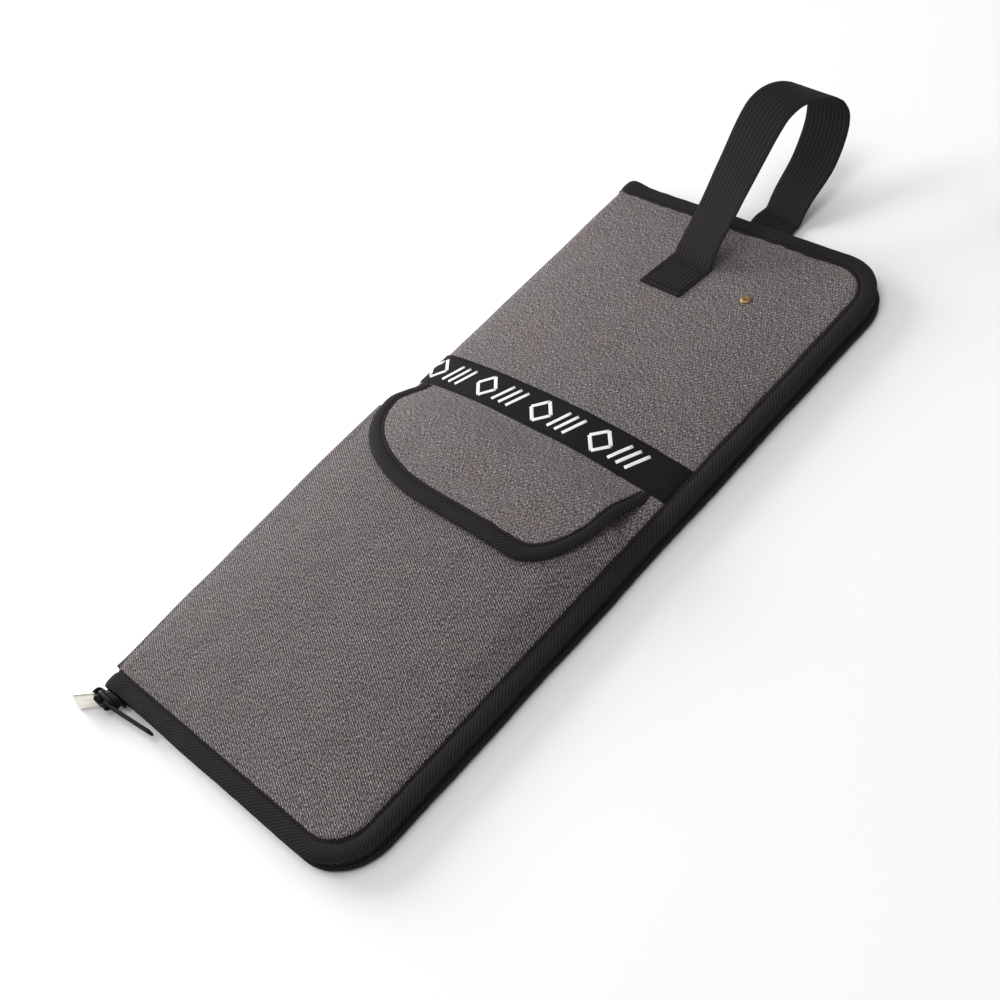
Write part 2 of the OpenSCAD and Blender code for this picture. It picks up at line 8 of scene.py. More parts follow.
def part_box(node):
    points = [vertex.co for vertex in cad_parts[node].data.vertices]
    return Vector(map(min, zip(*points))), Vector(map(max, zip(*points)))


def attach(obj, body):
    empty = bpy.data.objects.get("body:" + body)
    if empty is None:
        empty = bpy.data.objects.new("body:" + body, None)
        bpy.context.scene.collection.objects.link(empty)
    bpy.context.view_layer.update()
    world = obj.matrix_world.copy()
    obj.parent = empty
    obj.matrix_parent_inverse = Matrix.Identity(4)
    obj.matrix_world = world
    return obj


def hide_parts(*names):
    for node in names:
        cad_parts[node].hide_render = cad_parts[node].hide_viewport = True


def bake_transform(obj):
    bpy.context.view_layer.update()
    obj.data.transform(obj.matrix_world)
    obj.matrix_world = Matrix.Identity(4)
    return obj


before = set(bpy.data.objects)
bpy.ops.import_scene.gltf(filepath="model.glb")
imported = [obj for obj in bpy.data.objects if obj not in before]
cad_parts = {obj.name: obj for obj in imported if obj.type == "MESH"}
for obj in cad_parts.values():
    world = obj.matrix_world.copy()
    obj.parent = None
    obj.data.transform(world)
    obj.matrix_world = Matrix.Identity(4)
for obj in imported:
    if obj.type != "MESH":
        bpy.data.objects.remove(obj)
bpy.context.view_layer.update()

# Lengths are in millimetres until a mesh is made, and MM turns them into metres. The camera and the lights are
# in metres.
MM = 0.001
RIM_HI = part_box("back_binding")[1] / MM
FRONT_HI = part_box("front_binding")[1] / MM
HALF_W = RIM_HI.x
HALF_L = RIM_HI.y
RIM_T = FRONT_HI.z
MID_Z = RIM_T / 2
SPINE_R = MID_Z
SPINE_X = -HALF_W + SPINE_R
CORNER_R = 32
CORNER_TOP_R = 37
TAPE_W = 12
RIM_IN = TAPE_W + 0.3
TUCK_IN = RIM_IN - 1.3    # the cloth runs on under the binding as far as this
DOME_X = -4
DOME_H = 9
DOME_HALF_W = HALF_W - TAPE_W + 4
DOME_HALF_L = HALF_L - TAPE_W
FRONT_IN_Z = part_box("front_lining")[0].z / MM + 2
BACK_IN_Z = 4.85          # inner face of the back cover
POCKET_X0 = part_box("front_pocket")[0].x / MM
POCKET_X1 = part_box("front_pocket")[1].x / MM
POCKET_Y0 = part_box("front_pocket")[0].y / MM
MOUTH_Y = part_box("front_pocket_hem")[1].y / MM
POCKET_GAP = 5.5
POCKET_SIDE = 5
PANEL_T = 0.8
FLAP_X = (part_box("flap_binding")[0].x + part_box("flap_binding")[1].x) / 2 / MM
FLAP_W = (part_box("flap_binding")[1].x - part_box("flap_binding")[0].x) / MM
FLAP_Y = 28
FLAP_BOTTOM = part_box("flap_binding")[0].y / MM
FLAP_T = 1.6
FLAP_LIFT = 2
FLAP_TAPE = 11
BAND_W = 25
WEB_W = 32
WEB_T = 1.6
WEB_RIBS = 11
PULL_TURN = 6


# ---------------------------------------------------------------- shape of the bag

def bump(u, power):
    return max(0.0, 1 - abs(u) ** power)


def rise(d, run):
    u = min(1.0, max(0.0, d / run))
    return u * u * (3 - 2 * u)


def dome(x, y):
    """How far the padded front rises over its rim."""
    return DOME_H * bump((x - DOME_X) / DOME_HALF_W, 2.5) * bump(y / DOME_HALF_L, 3.5)


def shoulder(x):
    """How far the front drops where it turns into the spine."""
    if x >= SPINE_X:
        return 0.0
    return SPINE_R - math.sqrt(max(0.0, SPINE_R ** 2 - (SPINE_X - x) ** 2))


def front_top(x, y):
    return RIM_T + dome(x, y) - shoulder(x)


def puff(x, y):
    """How far the empty pocket stands off the front."""
    sides = rise(x - POCKET_X0, POCKET_SIDE) * rise(POCKET_X1 - x, 14)
    return POCKET_GAP * sides * rise(y - POCKET_Y0, 190) * rise(y - POCKET_Y0, 12)


def flap_under(x, y):
    """Height of the flap's inner side over the puffed pocket."""
    sides = rise(x - POCKET_X0 + 3, POCKET_SIDE) * rise(POCKET_X1 + 10 - x, 14)
    return front_top(x, y) + 0.4 + rise(FLAP_Y - 3 - y, 24) * (PANEL_T + FLAP_LIFT + POCKET_GAP * sides)


def corner(y):
    """Radius of the rounded corner at the end of the bag where y is."""
    return CORNER_TOP_R if y > 0 else CORNER_R


def edge_x(y, inset):
    """Zipper-side end of a row at y, at an inset from the cover's outline."""
    r = corner(y) - inset
    d = max(0.0, abs(y) - (HALF_L - corner(y)))
    return HALF_W - corner(y) + (math.sqrt(max(0.0, r * r - d * d)) if d > 0 else r)


def ripple(x, y, size, layer=0.0):
    """Smooth repeatable unevenness of cloth, about -1 to 1."""
    return noise.noise(Vector((x / size, y / size, layer))) * 1.6


def spread(a, b, step):
    """Even values from a to b, about step apart."""
    n = max(1, round(abs(b - a) / step))
    return [a + (b - a) * i / n for i in range(n + 1)]


def rows_of(inset, step):
    """Values of y over the whole outline at an inset, closer together round the corners."""
    turns = list(range(8, 90, 8)) + [90]
    bottom = [CORNER_R - HALF_L - (CORNER_R - inset) * math.sin(math.radians(a)) for a in reversed(turns)]
    top = [HALF_L - CORNER_TOP_R + (CORNER_TOP_R - inset) * math.sin(math.radians(a)) for a in turns]
    return bottom + spread(CORNER_R - HALF_L, HALF_L - CORNER_TOP_R, step) + top


# ---------------------------------------------------------------- meshes

def mesh_object(name, points, faces, weave=None):
    """Smooth piece from points in millimetres; weave holds each point's place on the flat cloth."""
    mesh = bpy.data.meshes.new(name)
    mesh.from_pydata([Vector(p) * MM for p in points], [], faces)
    if weave:
        layer = mesh.attributes.new("weave", "FLOAT_VECTOR", "POINT")
        layer.data.foreach_set("vector", [c for w in weave for c in (w[0], w[1], 0.0)])
    mesh.validate()
    mesh.polygons.foreach_set("use_smooth", [True] * len(mesh.polygons))
    mesh.update()
    obj = bpy.data.objects.new(name, mesh)
    bpy.context.scene.collection.objects.link(obj)
    return obj


def grid_faces(rows, columns, close_rows=False, close_columns=False):
    faces = []
    for j in range(rows if close_rows else rows - 1):
        for i in range(columns if close_columns else columns - 1):
            a, b = j * columns, (j + 1) % rows * columns
            k = (i + 1) % columns
            faces.append((a + i, a + k, b + k, b + i))
    return faces


def grid_object(name, grid, weave=None, close_rows=False, close_columns=False, caps=False):
    """Piece from rows of points, closed either way round when asked."""
    faces = grid_faces(len(grid), len(grid[0]), close_rows, close_columns)
    n = len(grid[0])
    if caps:
        last = (len(grid) - 1) * n
        faces += [tuple(range(n - 1, -1, -1)), tuple(range(last, last + n))]
    flat_weave = [w for row in weave for w in row] if weave else None
    return mesh_object(name, [p for row in grid for p in row], faces, flat_weave)


def with_modifier(obj, kind, **settings):
    """Adds a modifier to the piece and applies it at once."""
    modifier = obj.modifiers.new(kind, kind)
    for key, value in settings.items():
        setattr(modifier, key, value)
    graph = bpy.context.evaluated_depsgraph_get()
    result = obj.evaluated_get(graph)
    mesh = bpy.data.meshes.new_from_object(result, preserve_all_data_layers=True, depsgraph=graph)
    obj.modifiers.clear()
    obj.data = mesh
    return obj


def thicken(obj, thickness):
    """Gives a cloth sheet its thickness, on the side away from its normals."""
    return with_modifier(obj, "SOLIDIFY", thickness=thickness * MM, offset=-1, use_even_offset=True)


def join(name, objects):
    """One piece from several."""
    keep = objects[0]
    merged = bmesh.new()
    for obj in objects:
        merged.from_mesh(obj.data)
    merged.to_mesh(keep.data)
    merged.free()
    for obj in objects[1:]:
        bpy.data.objects.remove(obj)
    keep.name = name
    keep.data.name = name
    return keep


def smooth_path(points, step):
    """Points about step apart on a smooth curve through the given ones."""
    points = [Vector(p) for p in points]
    ends = [points[0] * 2 - points[1]] + points + [points[-1] * 2 - points[-2]]
    out = []
    for k in range(1, len(ends) - 2):
        a, b, c, d = ends[k - 1:k + 3]
        n = max(1, round((c - b).length / step))
        for i in range(n):
            t = i / n
            out.append(0.5 * (2 * b + (c - a) * t + (2 * a - 5 * b + 4 * c - d) * t * t
                              + (3 * b - a - 3 * c + d) * t ** 3))
    return out + [points[-1]]


def lengths_along(points):
    total = [0.0]
    for a, b in zip(points, points[1:]):
        total.append(total[-1] + (Vector(b) - Vector(a)).length)
    return total


def tube(name, path, radius, sides, closed=False):
    """Round wire along a path, with its ends rounded off."""
    path = [Vector(p) for p in path]
    n = len(path)
    grid, weave = [], []
    along = lengths_along(path)
    reference = Vector((0, 0, 1))
    for k, p in enumerate(path):
        before = path[k - 1 if k or closed else 0]
        after = path[(k + 1) % n if k < n - 1 or closed else n - 1]
        tangent = (after - before).normalized()
        side = tangent.cross(reference)
        if side.length < 0.2:
            side = tangent.cross(Vector((0, 1, 0)))
        side.normalize()
        up = side.cross(tangent).normalized()
        reference = up
        ring = []
        for i in range(sides):
            a = 2 * math.pi * i / sides
            ring.append(p + radius * (side * math.cos(a) + up * math.sin(a)))
        grid.append(ring)
        weave.append([(along[k], radius * 2 * math.pi * i / sides) for i in range(sides)])
    if not closed:
        for end, inner in ((0, 1), (-1, -2)):
            out = (path[end] - path[inner]).normalized()
            cap = [path[end] + (q - path[end]) * 0.6 + out * radius * 0.6 for q in grid[end]]
            at = 0 if end == 0 else len(grid)
            grid.insert(at, cap)
            weave.insert(at, weave[end])
    return grid_object(name, grid, weave, close_rows=closed, close_columns=True, caps=not closed)


def lathe(name, profile, centre):
    """Round piece about a vertical axis, from [radius, height] points."""
    x, y, z = centre
    angles = [2 * math.pi * i / 48 for i in range(48)]
    grid = [[(x + r * math.cos(a), y + r * math.sin(a), z + height) for a in angles] for r, height in profile]
    return grid_object(name, grid, close_columns=True, caps=True)


def rounded_plate(name, size, centre, radius, bevel):
    """Plate in the X-Z plane with rounded corners and softened edges; size is (length, thickness, height)."""
    half_x, half_z = size[0] / 2 - radius, size[2] / 2 - radius
    outline = []
    centres = ((half_x, half_z), (-half_x, half_z), (-half_x, -half_z), (half_x, -half_z))
    for quarter, (cx, cz) in enumerate(centres):
        for i in range(11):
            a = math.pi / 2 * (quarter + i / 10)
            outline.append((cx, cz, math.cos(a), math.sin(a)))
    grid = []
    for y, shrink in ((-0.5, bevel), (-0.5, 0), (0.5, 0), (0.5, bevel)):
        depth = y * size[1] + (bevel if shrink == 0 else 0) * (1 if y < 0 else -1)
        r = radius - shrink
        grid.append([(cx + r * ca, depth, cz + r * sa) for cx, cz, ca, sa in outline])
    obj = grid_object(name, grid, close_columns=True, caps=True)
    obj.data.transform(Matrix.Translation(Vector(centre) * MM))
    return obj


def stitches(name, path, normals, pitch, length, radius):
    """Row of short threads laid on a path; each dips into the cloth at its ends."""
    along = lengths_along(path)
    k = 0
    grid_points, faces = [], []
    for n in range(int(along[-1] / pitch)):
        ends = []
        for s in (n * pitch, n * pitch + length / 2, n * pitch + length):
            while k < len(along) - 2 and along[k + 1] < s:
                k += 1
            t = (s - along[k]) / max(1e-6, along[k + 1] - along[k])
            ends.append((Vector(path[k]).lerp(Vector(path[k + 1]), t), Vector(normals[k])))
        k = max(0, k - 3)
        tangent = (ends[2][0] - ends[0][0]).normalized()
        base = len(grid_points)
        for (p, up), lift in zip(ends, (-0.6, 0.35, -0.6)):
            side = tangent.cross(up).normalized()
            centre = p + up * radius * lift
            for i in range(6):
                a = math.pi * i / 3
                grid_points.append(centre + radius * (side * math.cos(a) + up * math.sin(a)))
        faces += [tuple(base + v for v in f) for f in grid_faces(3, 6, close_columns=True)]
        faces += [tuple(base + i for i in range(5, -1, -1)), tuple(base + 12 + i for i in range(6))]
    weave = [(p.x, p.y) for p in grid_points]
    return mesh_object(name, grid_points, faces, weave)


# ---------------------------------------------------------------- materials

class Nodes:
    """Short way to write a material's node tree."""

    def __init__(self, name):
        self.material = bpy.data.materials.new(name)
        self.material.use_nodes = True
        self.tree = self.material.node_tree
        self.shader = self.tree.nodes["Principled BSDF"]

    def add(self, kind, inputs=(), **settings):
        node = self.tree.nodes.new(kind)
        for key, value in settings.items():
            setattr(node, key, value)
        for key, value in dict(inputs).items():
            self.put(node.inputs[key], value)
        return node

    def put(self, socket, value):
        if isinstance(value, bpy.types.NodeSocket):
            self.tree.links.new(value, socket)
        elif value is not None:
            socket.default_value = value

    def math(self, operation, a, b=None, c=None):
        node = self.add("ShaderNodeMath", {0: a, 1: b, 2: c}, operation=operation)
        return node.outputs[0]

    def cloth_place(self, turn=0.0, source="weave"):
        """Two coordinates on the flat cloth, in millimetres, turned by an angle in degrees."""
        if source == "weave":
            vector = self.add("ShaderNodeAttribute", attribute_name="weave").outputs["Vector"]
        else:
            place = self.add("ShaderNodeTexCoord").outputs["Object"]
            vector = self.add("ShaderNodeVectorMath", {0: place, 1: (1000, 1000, 1000)},
                              operation="MULTIPLY").outputs[0]
        turned = self.add("ShaderNodeVectorRotate", {"Vector": vector, "Angle": math.radians(turn)},
                          rotation_type="Z_AXIS").outputs[0]
        split = self.add("ShaderNodeSeparateXYZ", {0: turned})
        return turned, split.outputs["X"], split.outputs["Y"]

    def noise(self, vector, scale, detail=2.0, roughness=0.6, stretch=(1, 1, 1)):
        placed = self.add("ShaderNodeVectorMath", {0: vector, 1: stretch}, operation="MULTIPLY").outputs[0]
        return self.add("ShaderNodeTexNoise", {"Vector": placed, "Scale": scale, "Detail": detail,
                                               "Roughness": roughness}).outputs["Fac"]

    def wave(self, coordinate, pitch, offset=None):
        """Smooth ridges, 0 to 1, a pitch apart along a coordinate."""
        turns = self.math("MULTIPLY", coordinate, 2 * math.pi / pitch)
        if offset is not None:
            turns = self.math("ADD", turns, offset)
        return self.math("MULTIPLY_ADD", self.math("SINE", turns), 0.5, 0.5)

    def ramp(self, value, stops):
        node = self.add("ShaderNodeValToRGB", {0: value})
        elements = node.color_ramp.elements
        while len(elements) < len(stops):
            elements.new(0.5)
        for element, (position, colour) in zip(elements, stops):
            element.position = position
            element.color = (*colour, 1)
        return node.outputs["Color"]

    def mix(self, factor, a, b, blend="MIX"):
        node = self.add("ShaderNodeMix", data_type="RGBA", blend_type=blend)
        self.put(node.inputs["Factor"], factor)
        self.put(node.inputs[6], (*a, 1) if isinstance(a, tuple) else a)
        self.put(node.inputs[7], (*b, 1) if isinstance(b, tuple) else b)
        return node.outputs[2]

    def bump(self, height, distance, strength=1.0):
        node = self.add("ShaderNodeBump", {"Height": height, "Distance": distance * MM, "Strength": strength})
        self.put(self.shader.inputs["Normal"], node.outputs[0])

    def finish(self, colour, roughness, sheen=0.0, metallic=0.0, specular=0.5):
        for name, value in (("Base Color", colour), ("Roughness", roughness), ("Metallic", metallic),
                            ("Sheen Weight", sheen), ("Specular IOR Level", specular)):
            self.put(self.shader.inputs[name], value)
        self.shader.inputs["Sheen Roughness"].default_value = 0.5
        return self.material


def heather_fabric(name, grain, twills, light, contrast):
    """Heather twill: mixed light and dark yarn lying along the grain, under fine slanting lines.
    twills lists the lines as (direction across them in degrees, pitch, weight)."""
    n = Nodes(name)
    turned = n.cloth_place(90 - grain)[0]
    yarn = n.noise(turned, 1.0, 2, 0.55, (1.6, 0.6, 1))
    speck = n.noise(turned, 1.0, 2, 0.7, (1.5, 1.1, 1))
    patches = n.math("MULTIPLY_ADD", n.noise(turned, 0.06, 3), 1.4, 0.3)
    level = n.math("MULTIPLY_ADD", n.math("SUBTRACT", yarn, 0.5), 1.35 * contrast, 0.5)
    level = n.math("MULTIPLY_ADD", n.math("SUBTRACT", speck, 0.5), 1.15 * contrast, level)
    height = n.math("MULTIPLY", yarn, 0.7)
    for direction, pitch, weight in twills:
        flat, crossing = n.cloth_place(-direction)[:2]
        sway = n.math("MULTIPLY", n.noise(flat, 0.012, 1), 4.0)
        lines = n.math("SUBTRACT", n.wave(crossing, pitch, sway), 0.5)
        level = n.math("MULTIPLY_ADD", lines, n.math("MULTIPLY", patches, weight), level)
        height = n.math("MULTIPLY_ADD", lines, weight, height)
    stops = ((0.14, (0.026, 0.023, 0.024)), (0.42, (0.086, 0.078, 0.078)),
             (0.60, (0.165, 0.150, 0.150)), (0.86, (0.42, 0.395, 0.39)))
    colour = n.ramp(level, tuple((at, tuple(light * c for c in tone)) for at, tone in stops))
    tint = n.ramp(n.noise(turned, 0.028, 2), ((0.35, (1.0, 1.0, 1.0)), (0.65, (1.065, 0.98, 0.985))))
    colour = n.mix(1.0, colour, tint, "MULTIPLY")
    shade = n.ramp(n.noise(turned, 0.09, 2), ((0.3, (0.93, 0.93, 0.93)), (0.7, (1.06, 1.06, 1.06))))
    colour = n.mix(1.0, colour, shade, "MULTIPLY")
    n.bump(height, 0.22, 0.6)
    return n.finish(colour, 0.92, sheen=0.05, specular=0.2)


def ribbed_tape(name, rib_angle, pitch, base, light, relief=0.2, source="weave"):
    """Dark woven tape with slanting ribs and a fine thread across them."""
    n = Nodes(name)
    turned, across, along = n.cloth_place(rib_angle, source)
    sway = n.noise(turned, 0.15, 1)
    ribs = n.wave(across, pitch, n.math("MULTIPLY", sway, 1.0))
    thread = n.wave(along, 0.55)
    fuzz = n.noise(turned, 1.4, 3, 0.7)
    level = n.math("MULTIPLY_ADD", ribs, 0.35, n.math("MULTIPLY", fuzz, 0.75))
    level = n.math("MULTIPLY_ADD", thread, 0.1, level)
    warm = (1.06, 1.0, 0.92)
    colour = n.ramp(level, tuple((at, tuple(tone * w for w in warm))
                                 for at, tone in ((0.25, base * 0.55), (0.6, base), (1.0, light))))
    n.bump(n.math("MULTIPLY_ADD", thread, 0.2, ribs), relief, 0.6)
    return n.finish(colour, 0.9, specular=0.12)


def satin_ribbon(name):
    """Smooth dark ribbon with very fine threads across its width."""
    n = Nodes(name)
    turned, across = n.cloth_place()[:2]
    thread = n.wave(across, 0.35)
    fuzz = n.noise(turned, 0.8, 3, 0.6, (0.3, 2.5, 1))
    colour = n.ramp(fuzz, ((0.3, (0.006, 0.006, 0.006)), (0.7, (0.011, 0.0105, 0.0105))))
    n.bump(n.math("ADD", thread, fuzz), 0.04, 0.5)
    return n.finish(colour, n.math("MULTIPLY_ADD", fuzz, 0.2, 0.7), specular=0.1)


def printed_ink(name):
    """White print, a little uneven where the ribbon's threads show through."""
    n = Nodes(name)
    turned, across = n.cloth_place()[:2]
    fuzz = n.noise(turned, 2.0, 3, 0.7)
    colour = n.ramp(fuzz, ((0.2, (0.66, 0.66, 0.66)), (0.6, (0.82, 0.82, 0.82))))
    n.bump(n.wave(across, 0.35), 0.03, 0.4)
    return n.finish(colour, 0.6, specular=0.4)


def plain_weave(name, base, light, pitch=0.7, sheen=0.1, specular=0.35):
    """Plain nylon weave: threads over and under in both directions."""
    n = Nodes(name)
    turned, across, along = n.cloth_place()
    warp = n.wave(across, pitch)
    weft = n.wave(along, pitch)
    checks = n.math("MULTIPLY", warp, weft)
    fuzz = n.noise(turned, 0.3, 3, 0.6)
    level = n.math("MULTIPLY_ADD", checks, 0.4, n.math("MULTIPLY", fuzz, 0.8))
    colour = n.ramp(level, ((0.2, (base,) * 3), (0.9, (light,) * 3)))
    n.bump(checks, 0.12, 0.6)
    return n.finish(colour, 0.7, sheen=sheen, specular=specular)


def hook_and_loop(name):
    """Fuzzy fastener tape."""
    n = Nodes(name)
    turned = n.cloth_place(0, "object")[0]
    cells = n.add("ShaderNodeTexVoronoi", {"Vector": turned, "Scale": 1.1}).outputs["Distance"]
    fuzz = n.noise(turned, 1.8, 4, 0.8)
    level = n.math("ADD", cells, n.math("MULTIPLY", fuzz, 0.5))
    colour = n.ramp(level, ((0.2, (0.012,) * 3), (1.0, (0.05,) * 3)))
    n.bump(level, 0.5, 0.8)
    return n.finish(colour, 0.9, sheen=0.2, specular=0.2)


def foam(name):
    """Closed-cell padding."""
    n = Nodes(name)
    turned = n.cloth_place(0, "object")[0]
    cells = n.add("ShaderNodeTexVoronoi", {"Vector": turned, "Scale": 1.4}).outputs["Distance"]
    colour = n.ramp(cells, ((0.0, (0.014, 0.014, 0.015)), (0.6, (0.032, 0.032, 0.033))))
    n.bump(cells, 0.3, 0.6)
    return n.finish(colour, 0.9, specular=0.3)


def metal(name, dark, light, roughness, metallic=1.0, specular=0.5):
    """Metal or enamel with fine wear in its colour and gloss."""
    n = Nodes(name)
    turned = n.cloth_place(0, "object")[0]
    wear = n.noise(turned, 0.6, 4, 0.65)
    scratches = n.noise(turned, 1.0, 2, 0.6, (0.4, 3.0, 3.0))
    colour = n.ramp(wear, ((0.3, dark), (0.7, light)))
    n.bump(n.math("ADD", wear, scratches), 0.03, 0.5)
    gloss = n.math("MULTIPLY_ADD", wear, 0.25, roughness)
    return n.finish(colour, gloss, metallic=metallic, specular=specular)


def moulded_coil(name):
    """Nylon monofilament."""
    n = Nodes(name)
    turned = n.cloth_place(0, "object")[0]
    tone = n.noise(turned, 0.8, 2)
    colour = n.ramp(tone, ((0.3, (0.010, 0.010, 0.011)), (0.7, (0.020, 0.020, 0.021))))
    n.bump(tone, 0.04, 0.4)
    return n.finish(colour, n.math("MULTIPLY_ADD", tone, 0.2, 0.28))


FRONT_TWILLS = ((32.5, 1.61, 0.10), (-37.5, 2.2, 0.09))
POCKET_TWILLS = ((62.0, 1.364, 0.37), (25.0, 1.23, 0.28))
HEATHER = heather_fabric("heather_front", 70, FRONT_TWILLS, 0.95, 1.12)
# Painted shade: the pocket's heather is a darker copy of the front's (light 0.76 against 0.95), with its own
# grain and twill lines.
HEATHER_POCKET_SHADED = heather_fabric("heather_pocket_shaded", -33, POCKET_TWILLS, 0.76, 1.3)
BINDING = ribbed_tape("binding_tape", -50, 1.7, base=0.0135, light=0.036)
WEBBING = ribbed_tape("webbing", 90, 2.9, base=0.0145, light=0.026, relief=0.05)
ZIP_TAPE = ribbed_tape("zip_tape", 0, 0.9, base=0.010, light=0.022, relief=0.1, source="object")
THREAD = plain_weave("thread", 0.004, 0.010, 0.4, sheen=0.0, specular=0.05)
SATIN = satin_ribbon("satin_band")
INK = printed_ink("band_print")
LINING = plain_weave("lining", 0.018, 0.04)
SLEEVE = plain_weave("sleeve_cloth", 0.022, 0.05, 0.9)
FASTENER = hook_and_loop("hook_and_loop")
PADDING = foam("padding_foam")
COIL = moulded_coil("zip_coil")
ENAMEL = metal("black_enamel", (0.005, 0.005, 0.006), (0.010, 0.010, 0.011), 0.25, 0.0, 0.08)
BRASS = metal("old_brass", (0.17, 0.105, 0.04), (0.42, 0.29, 0.13), 0.38)
NICKEL = metal("satin_nickel", (0.72, 0.68, 0.63), (0.88, 0.85, 0.80), 0.30)


def dress(obj, material):
    """The piece gets one material."""
    obj.data.materials.clear()
    obj.data.materials.append(material)


def seam(name, line, threads, body=None, up=1):
    """Row of stitches along a line on a face that looks up, or down where up is -1. threads is (pitch, length,
    radius) of its stitches. It rides on a body when one is given, and is left in place otherwise."""
    obj = stitches(name, line, [(0, 0, up)] * len(line), *threads)
    dress(obj, THREAD)
    if body:
        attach(obj, body)
    return obj


def spine_blend(obj):
    """Cloth that goes round the spine from the back cover to the front one."""
    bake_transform(obj)


# ---------------------------------------------------------------- outer fabric and lining

def soft_front(x, y):
    """Height of the front's outer fabric, with the unevenness of padded cloth and puckers at the binding."""
    edge = min(HALF_W - RIM_IN - x, HALF_L - RIM_IN - abs(y))
    near_edge = math.exp(-max(0.0, edge) / 7)
    lump = 0.55 * ripple(x, y, 48) + 0.22 * ripple(x, y, 21, 5.0)
    pucker = 0.4 * near_edge * ripple(x, y, 8, 9.0)
    free = rise(x - SPINE_X, 20) * rise(edge + 2, 14)
    covered = 0.35 if y < MOUTH_Y else 1.0
    uneven = covered * (lump * free + pucker * rise(x - SPINE_X, 10))
    return front_top(x, y) + uneven - 0.5 * (1 - rise(edge, 5))


BACK_LIFT = 0.5    # the outer fabric of the back stays this far above the table, over the band and handle


def outer_row(y, inset):
    """One row of the outer fabric: the back, round the spine, and the front."""
    points = []
    end = edge_x(y, inset)
    squeeze = 1 - 0.12 * rise(abs(y) - (HALF_L - 26), 14)
    for i in range(45):
        x = end + (SPINE_X - end) * i / 44
        points.append((x, y, BACK_LIFT + 0.15 * ripple(x, y, 40, 3.0) * rise(x - SPINE_X, 12)))
    for i in range(1, 20):
        a = math.radians(-90 - 180 * i / 20)
        r = (SPINE_R - BACK_LIFT * (1 - i / 20)) * squeeze + (1 - squeeze) * SPINE_R
        sag = 0.25 * ripple(y, i * 3, 30, 7.0) * math.sin(math.pi * i / 20)
        points.append((SPINE_X + (r - sag) * math.cos(a), y, MID_Z + (r - sag) * math.sin(a)))
    for i in range(71):
        x = SPINE_X + (end - SPINE_X) * i / 70
        points.append((x, y, soft_front(x, y)))
    return points


def recentred(points):
    """Lengths along a row, counted from where it passes x = 0 on the front."""
    along = lengths_along(points)
    k = max(j for j, p in enumerate(points) if p[0] <= 0 and p[2] >= MID_Z)
    t = (0 - points[k][0]) / (points[k + 1][0] - points[k][0])
    zero = along[k] + t * (along[k + 1] - along[k])
    return [s - zero for s in along]


def make_outer_fabric():
    ys = rows_of(TUCK_IN, 3.0)
    grid = [outer_row(y, TUCK_IN) for y in ys]
    weave = [[(u, y) for u in recentred(row)] for row, y in zip(grid, ys)]
    obj = thicken(grid_object("outer_fabric", grid, weave), 0.9)
    dress(obj, HEATHER)
    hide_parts("back_shell", "front_shell")
    spine_blend(obj)


def lining_row(y, inset):
    """One row of the lining, from the back's zipper side round the inside of the spine to the front's."""
    points = []
    end = edge_x(y, inset)
    r_in = 2.15
    for i in range(40):
        x = end + (SPINE_X - end) * i / 39
        points.append((x, y, BACK_IN_Z + 0.12 * ripple(x, y, 25, 11.0) * rise(x - SPINE_X, 12)))
    for i in range(1, 12):
        a = math.radians(-90 - 180 * i / 12)
        points.append((SPINE_X + r_in * math.cos(a), y, MID_Z + r_in * math.sin(a)))
    for i in range(56):
        x = SPINE_X + (end - SPINE_X) * i / 55
        crease = 0.12 * ripple(x, y, 25, 13.0) * rise(x - SPINE_X, 12)
        points.append((x, y, FRONT_IN_Z - 0.05 + dome(x, y) + crease))
    return points


def make_lining():
    ys = rows_of(TUCK_IN, 4.0)
    grid = [lining_row(y, TUCK_IN) for y in ys]
    weave = [[(u, y) for u in lengths_along(row)] for row, y in zip(grid, ys)]
    obj = grid_object("lining", grid, weave)
    thicken(obj, 0.35)
    dress(obj, LINING)
    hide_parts("back_lining", "front_lining")
    spine_blend(obj)


# ---------------------------------------------------------------- binding and zipper

def rim_path(inset, step):
    """Points round the three zipped edges at an inset, from the spine at the bottom to the spine at the top,
    with each point's inward normal."""
    def turn(side, first, last):
        r = corner(side)
        for a in spread(first, last, math.degrees(step / r))[1:]:
            c, sn = math.cos(math.radians(a)), math.sin(math.radians(a))
            path.append(((HALF_W - r + (r - inset) * c, side * (HALF_L - r) + (r - inset) * sn), (-c, -sn)))

    path = [((x, -HALF_L + inset), (0, 1)) for x in spread(SPINE_X, HALF_W - CORNER_R, step)]
    turn(-1, -90, 0)
    straight = spread(CORNER_R - HALF_L, HALF_L - CORNER_TOP_R, step)[1:]
    path += [((HALF_W - inset, y), (-1, 0)) for y in straight]
    turn(1, 0, 90)
    path += [((x, HALF_L - inset), (0, -1)) for x in spread(HALF_W - CORNER_TOP_R, SPINE_X, step)[1:]]
    return path


# Binding in section: [distance in from the rim, distance below the crest]
BINDING_SECTION = [
    (12.2, 1.9), (12.0, 0.75), (11.2, 0.35), (10.2, 0.45), (9.5, 0.95), (8.8, 0.5), (7.5, 0.12), (5.5, 0.0),
    (3.5, 0.12), (2.0, 0.5), (0.9, 1.2), (0.25, 2.1), (0.0, 3.1), (0.3, 4.2), (1.1, 5.0), (2.4, 5.35),
    (5.0, 5.4), (8.5, 5.4), (12.0, 5.3), (12.1, 3.6),
]
CREST = 0.4        # the binding's crest stands this far outside the rim
CAP_THIN = 0.45    # share of its thickness that the binding keeps where it turns round the spine


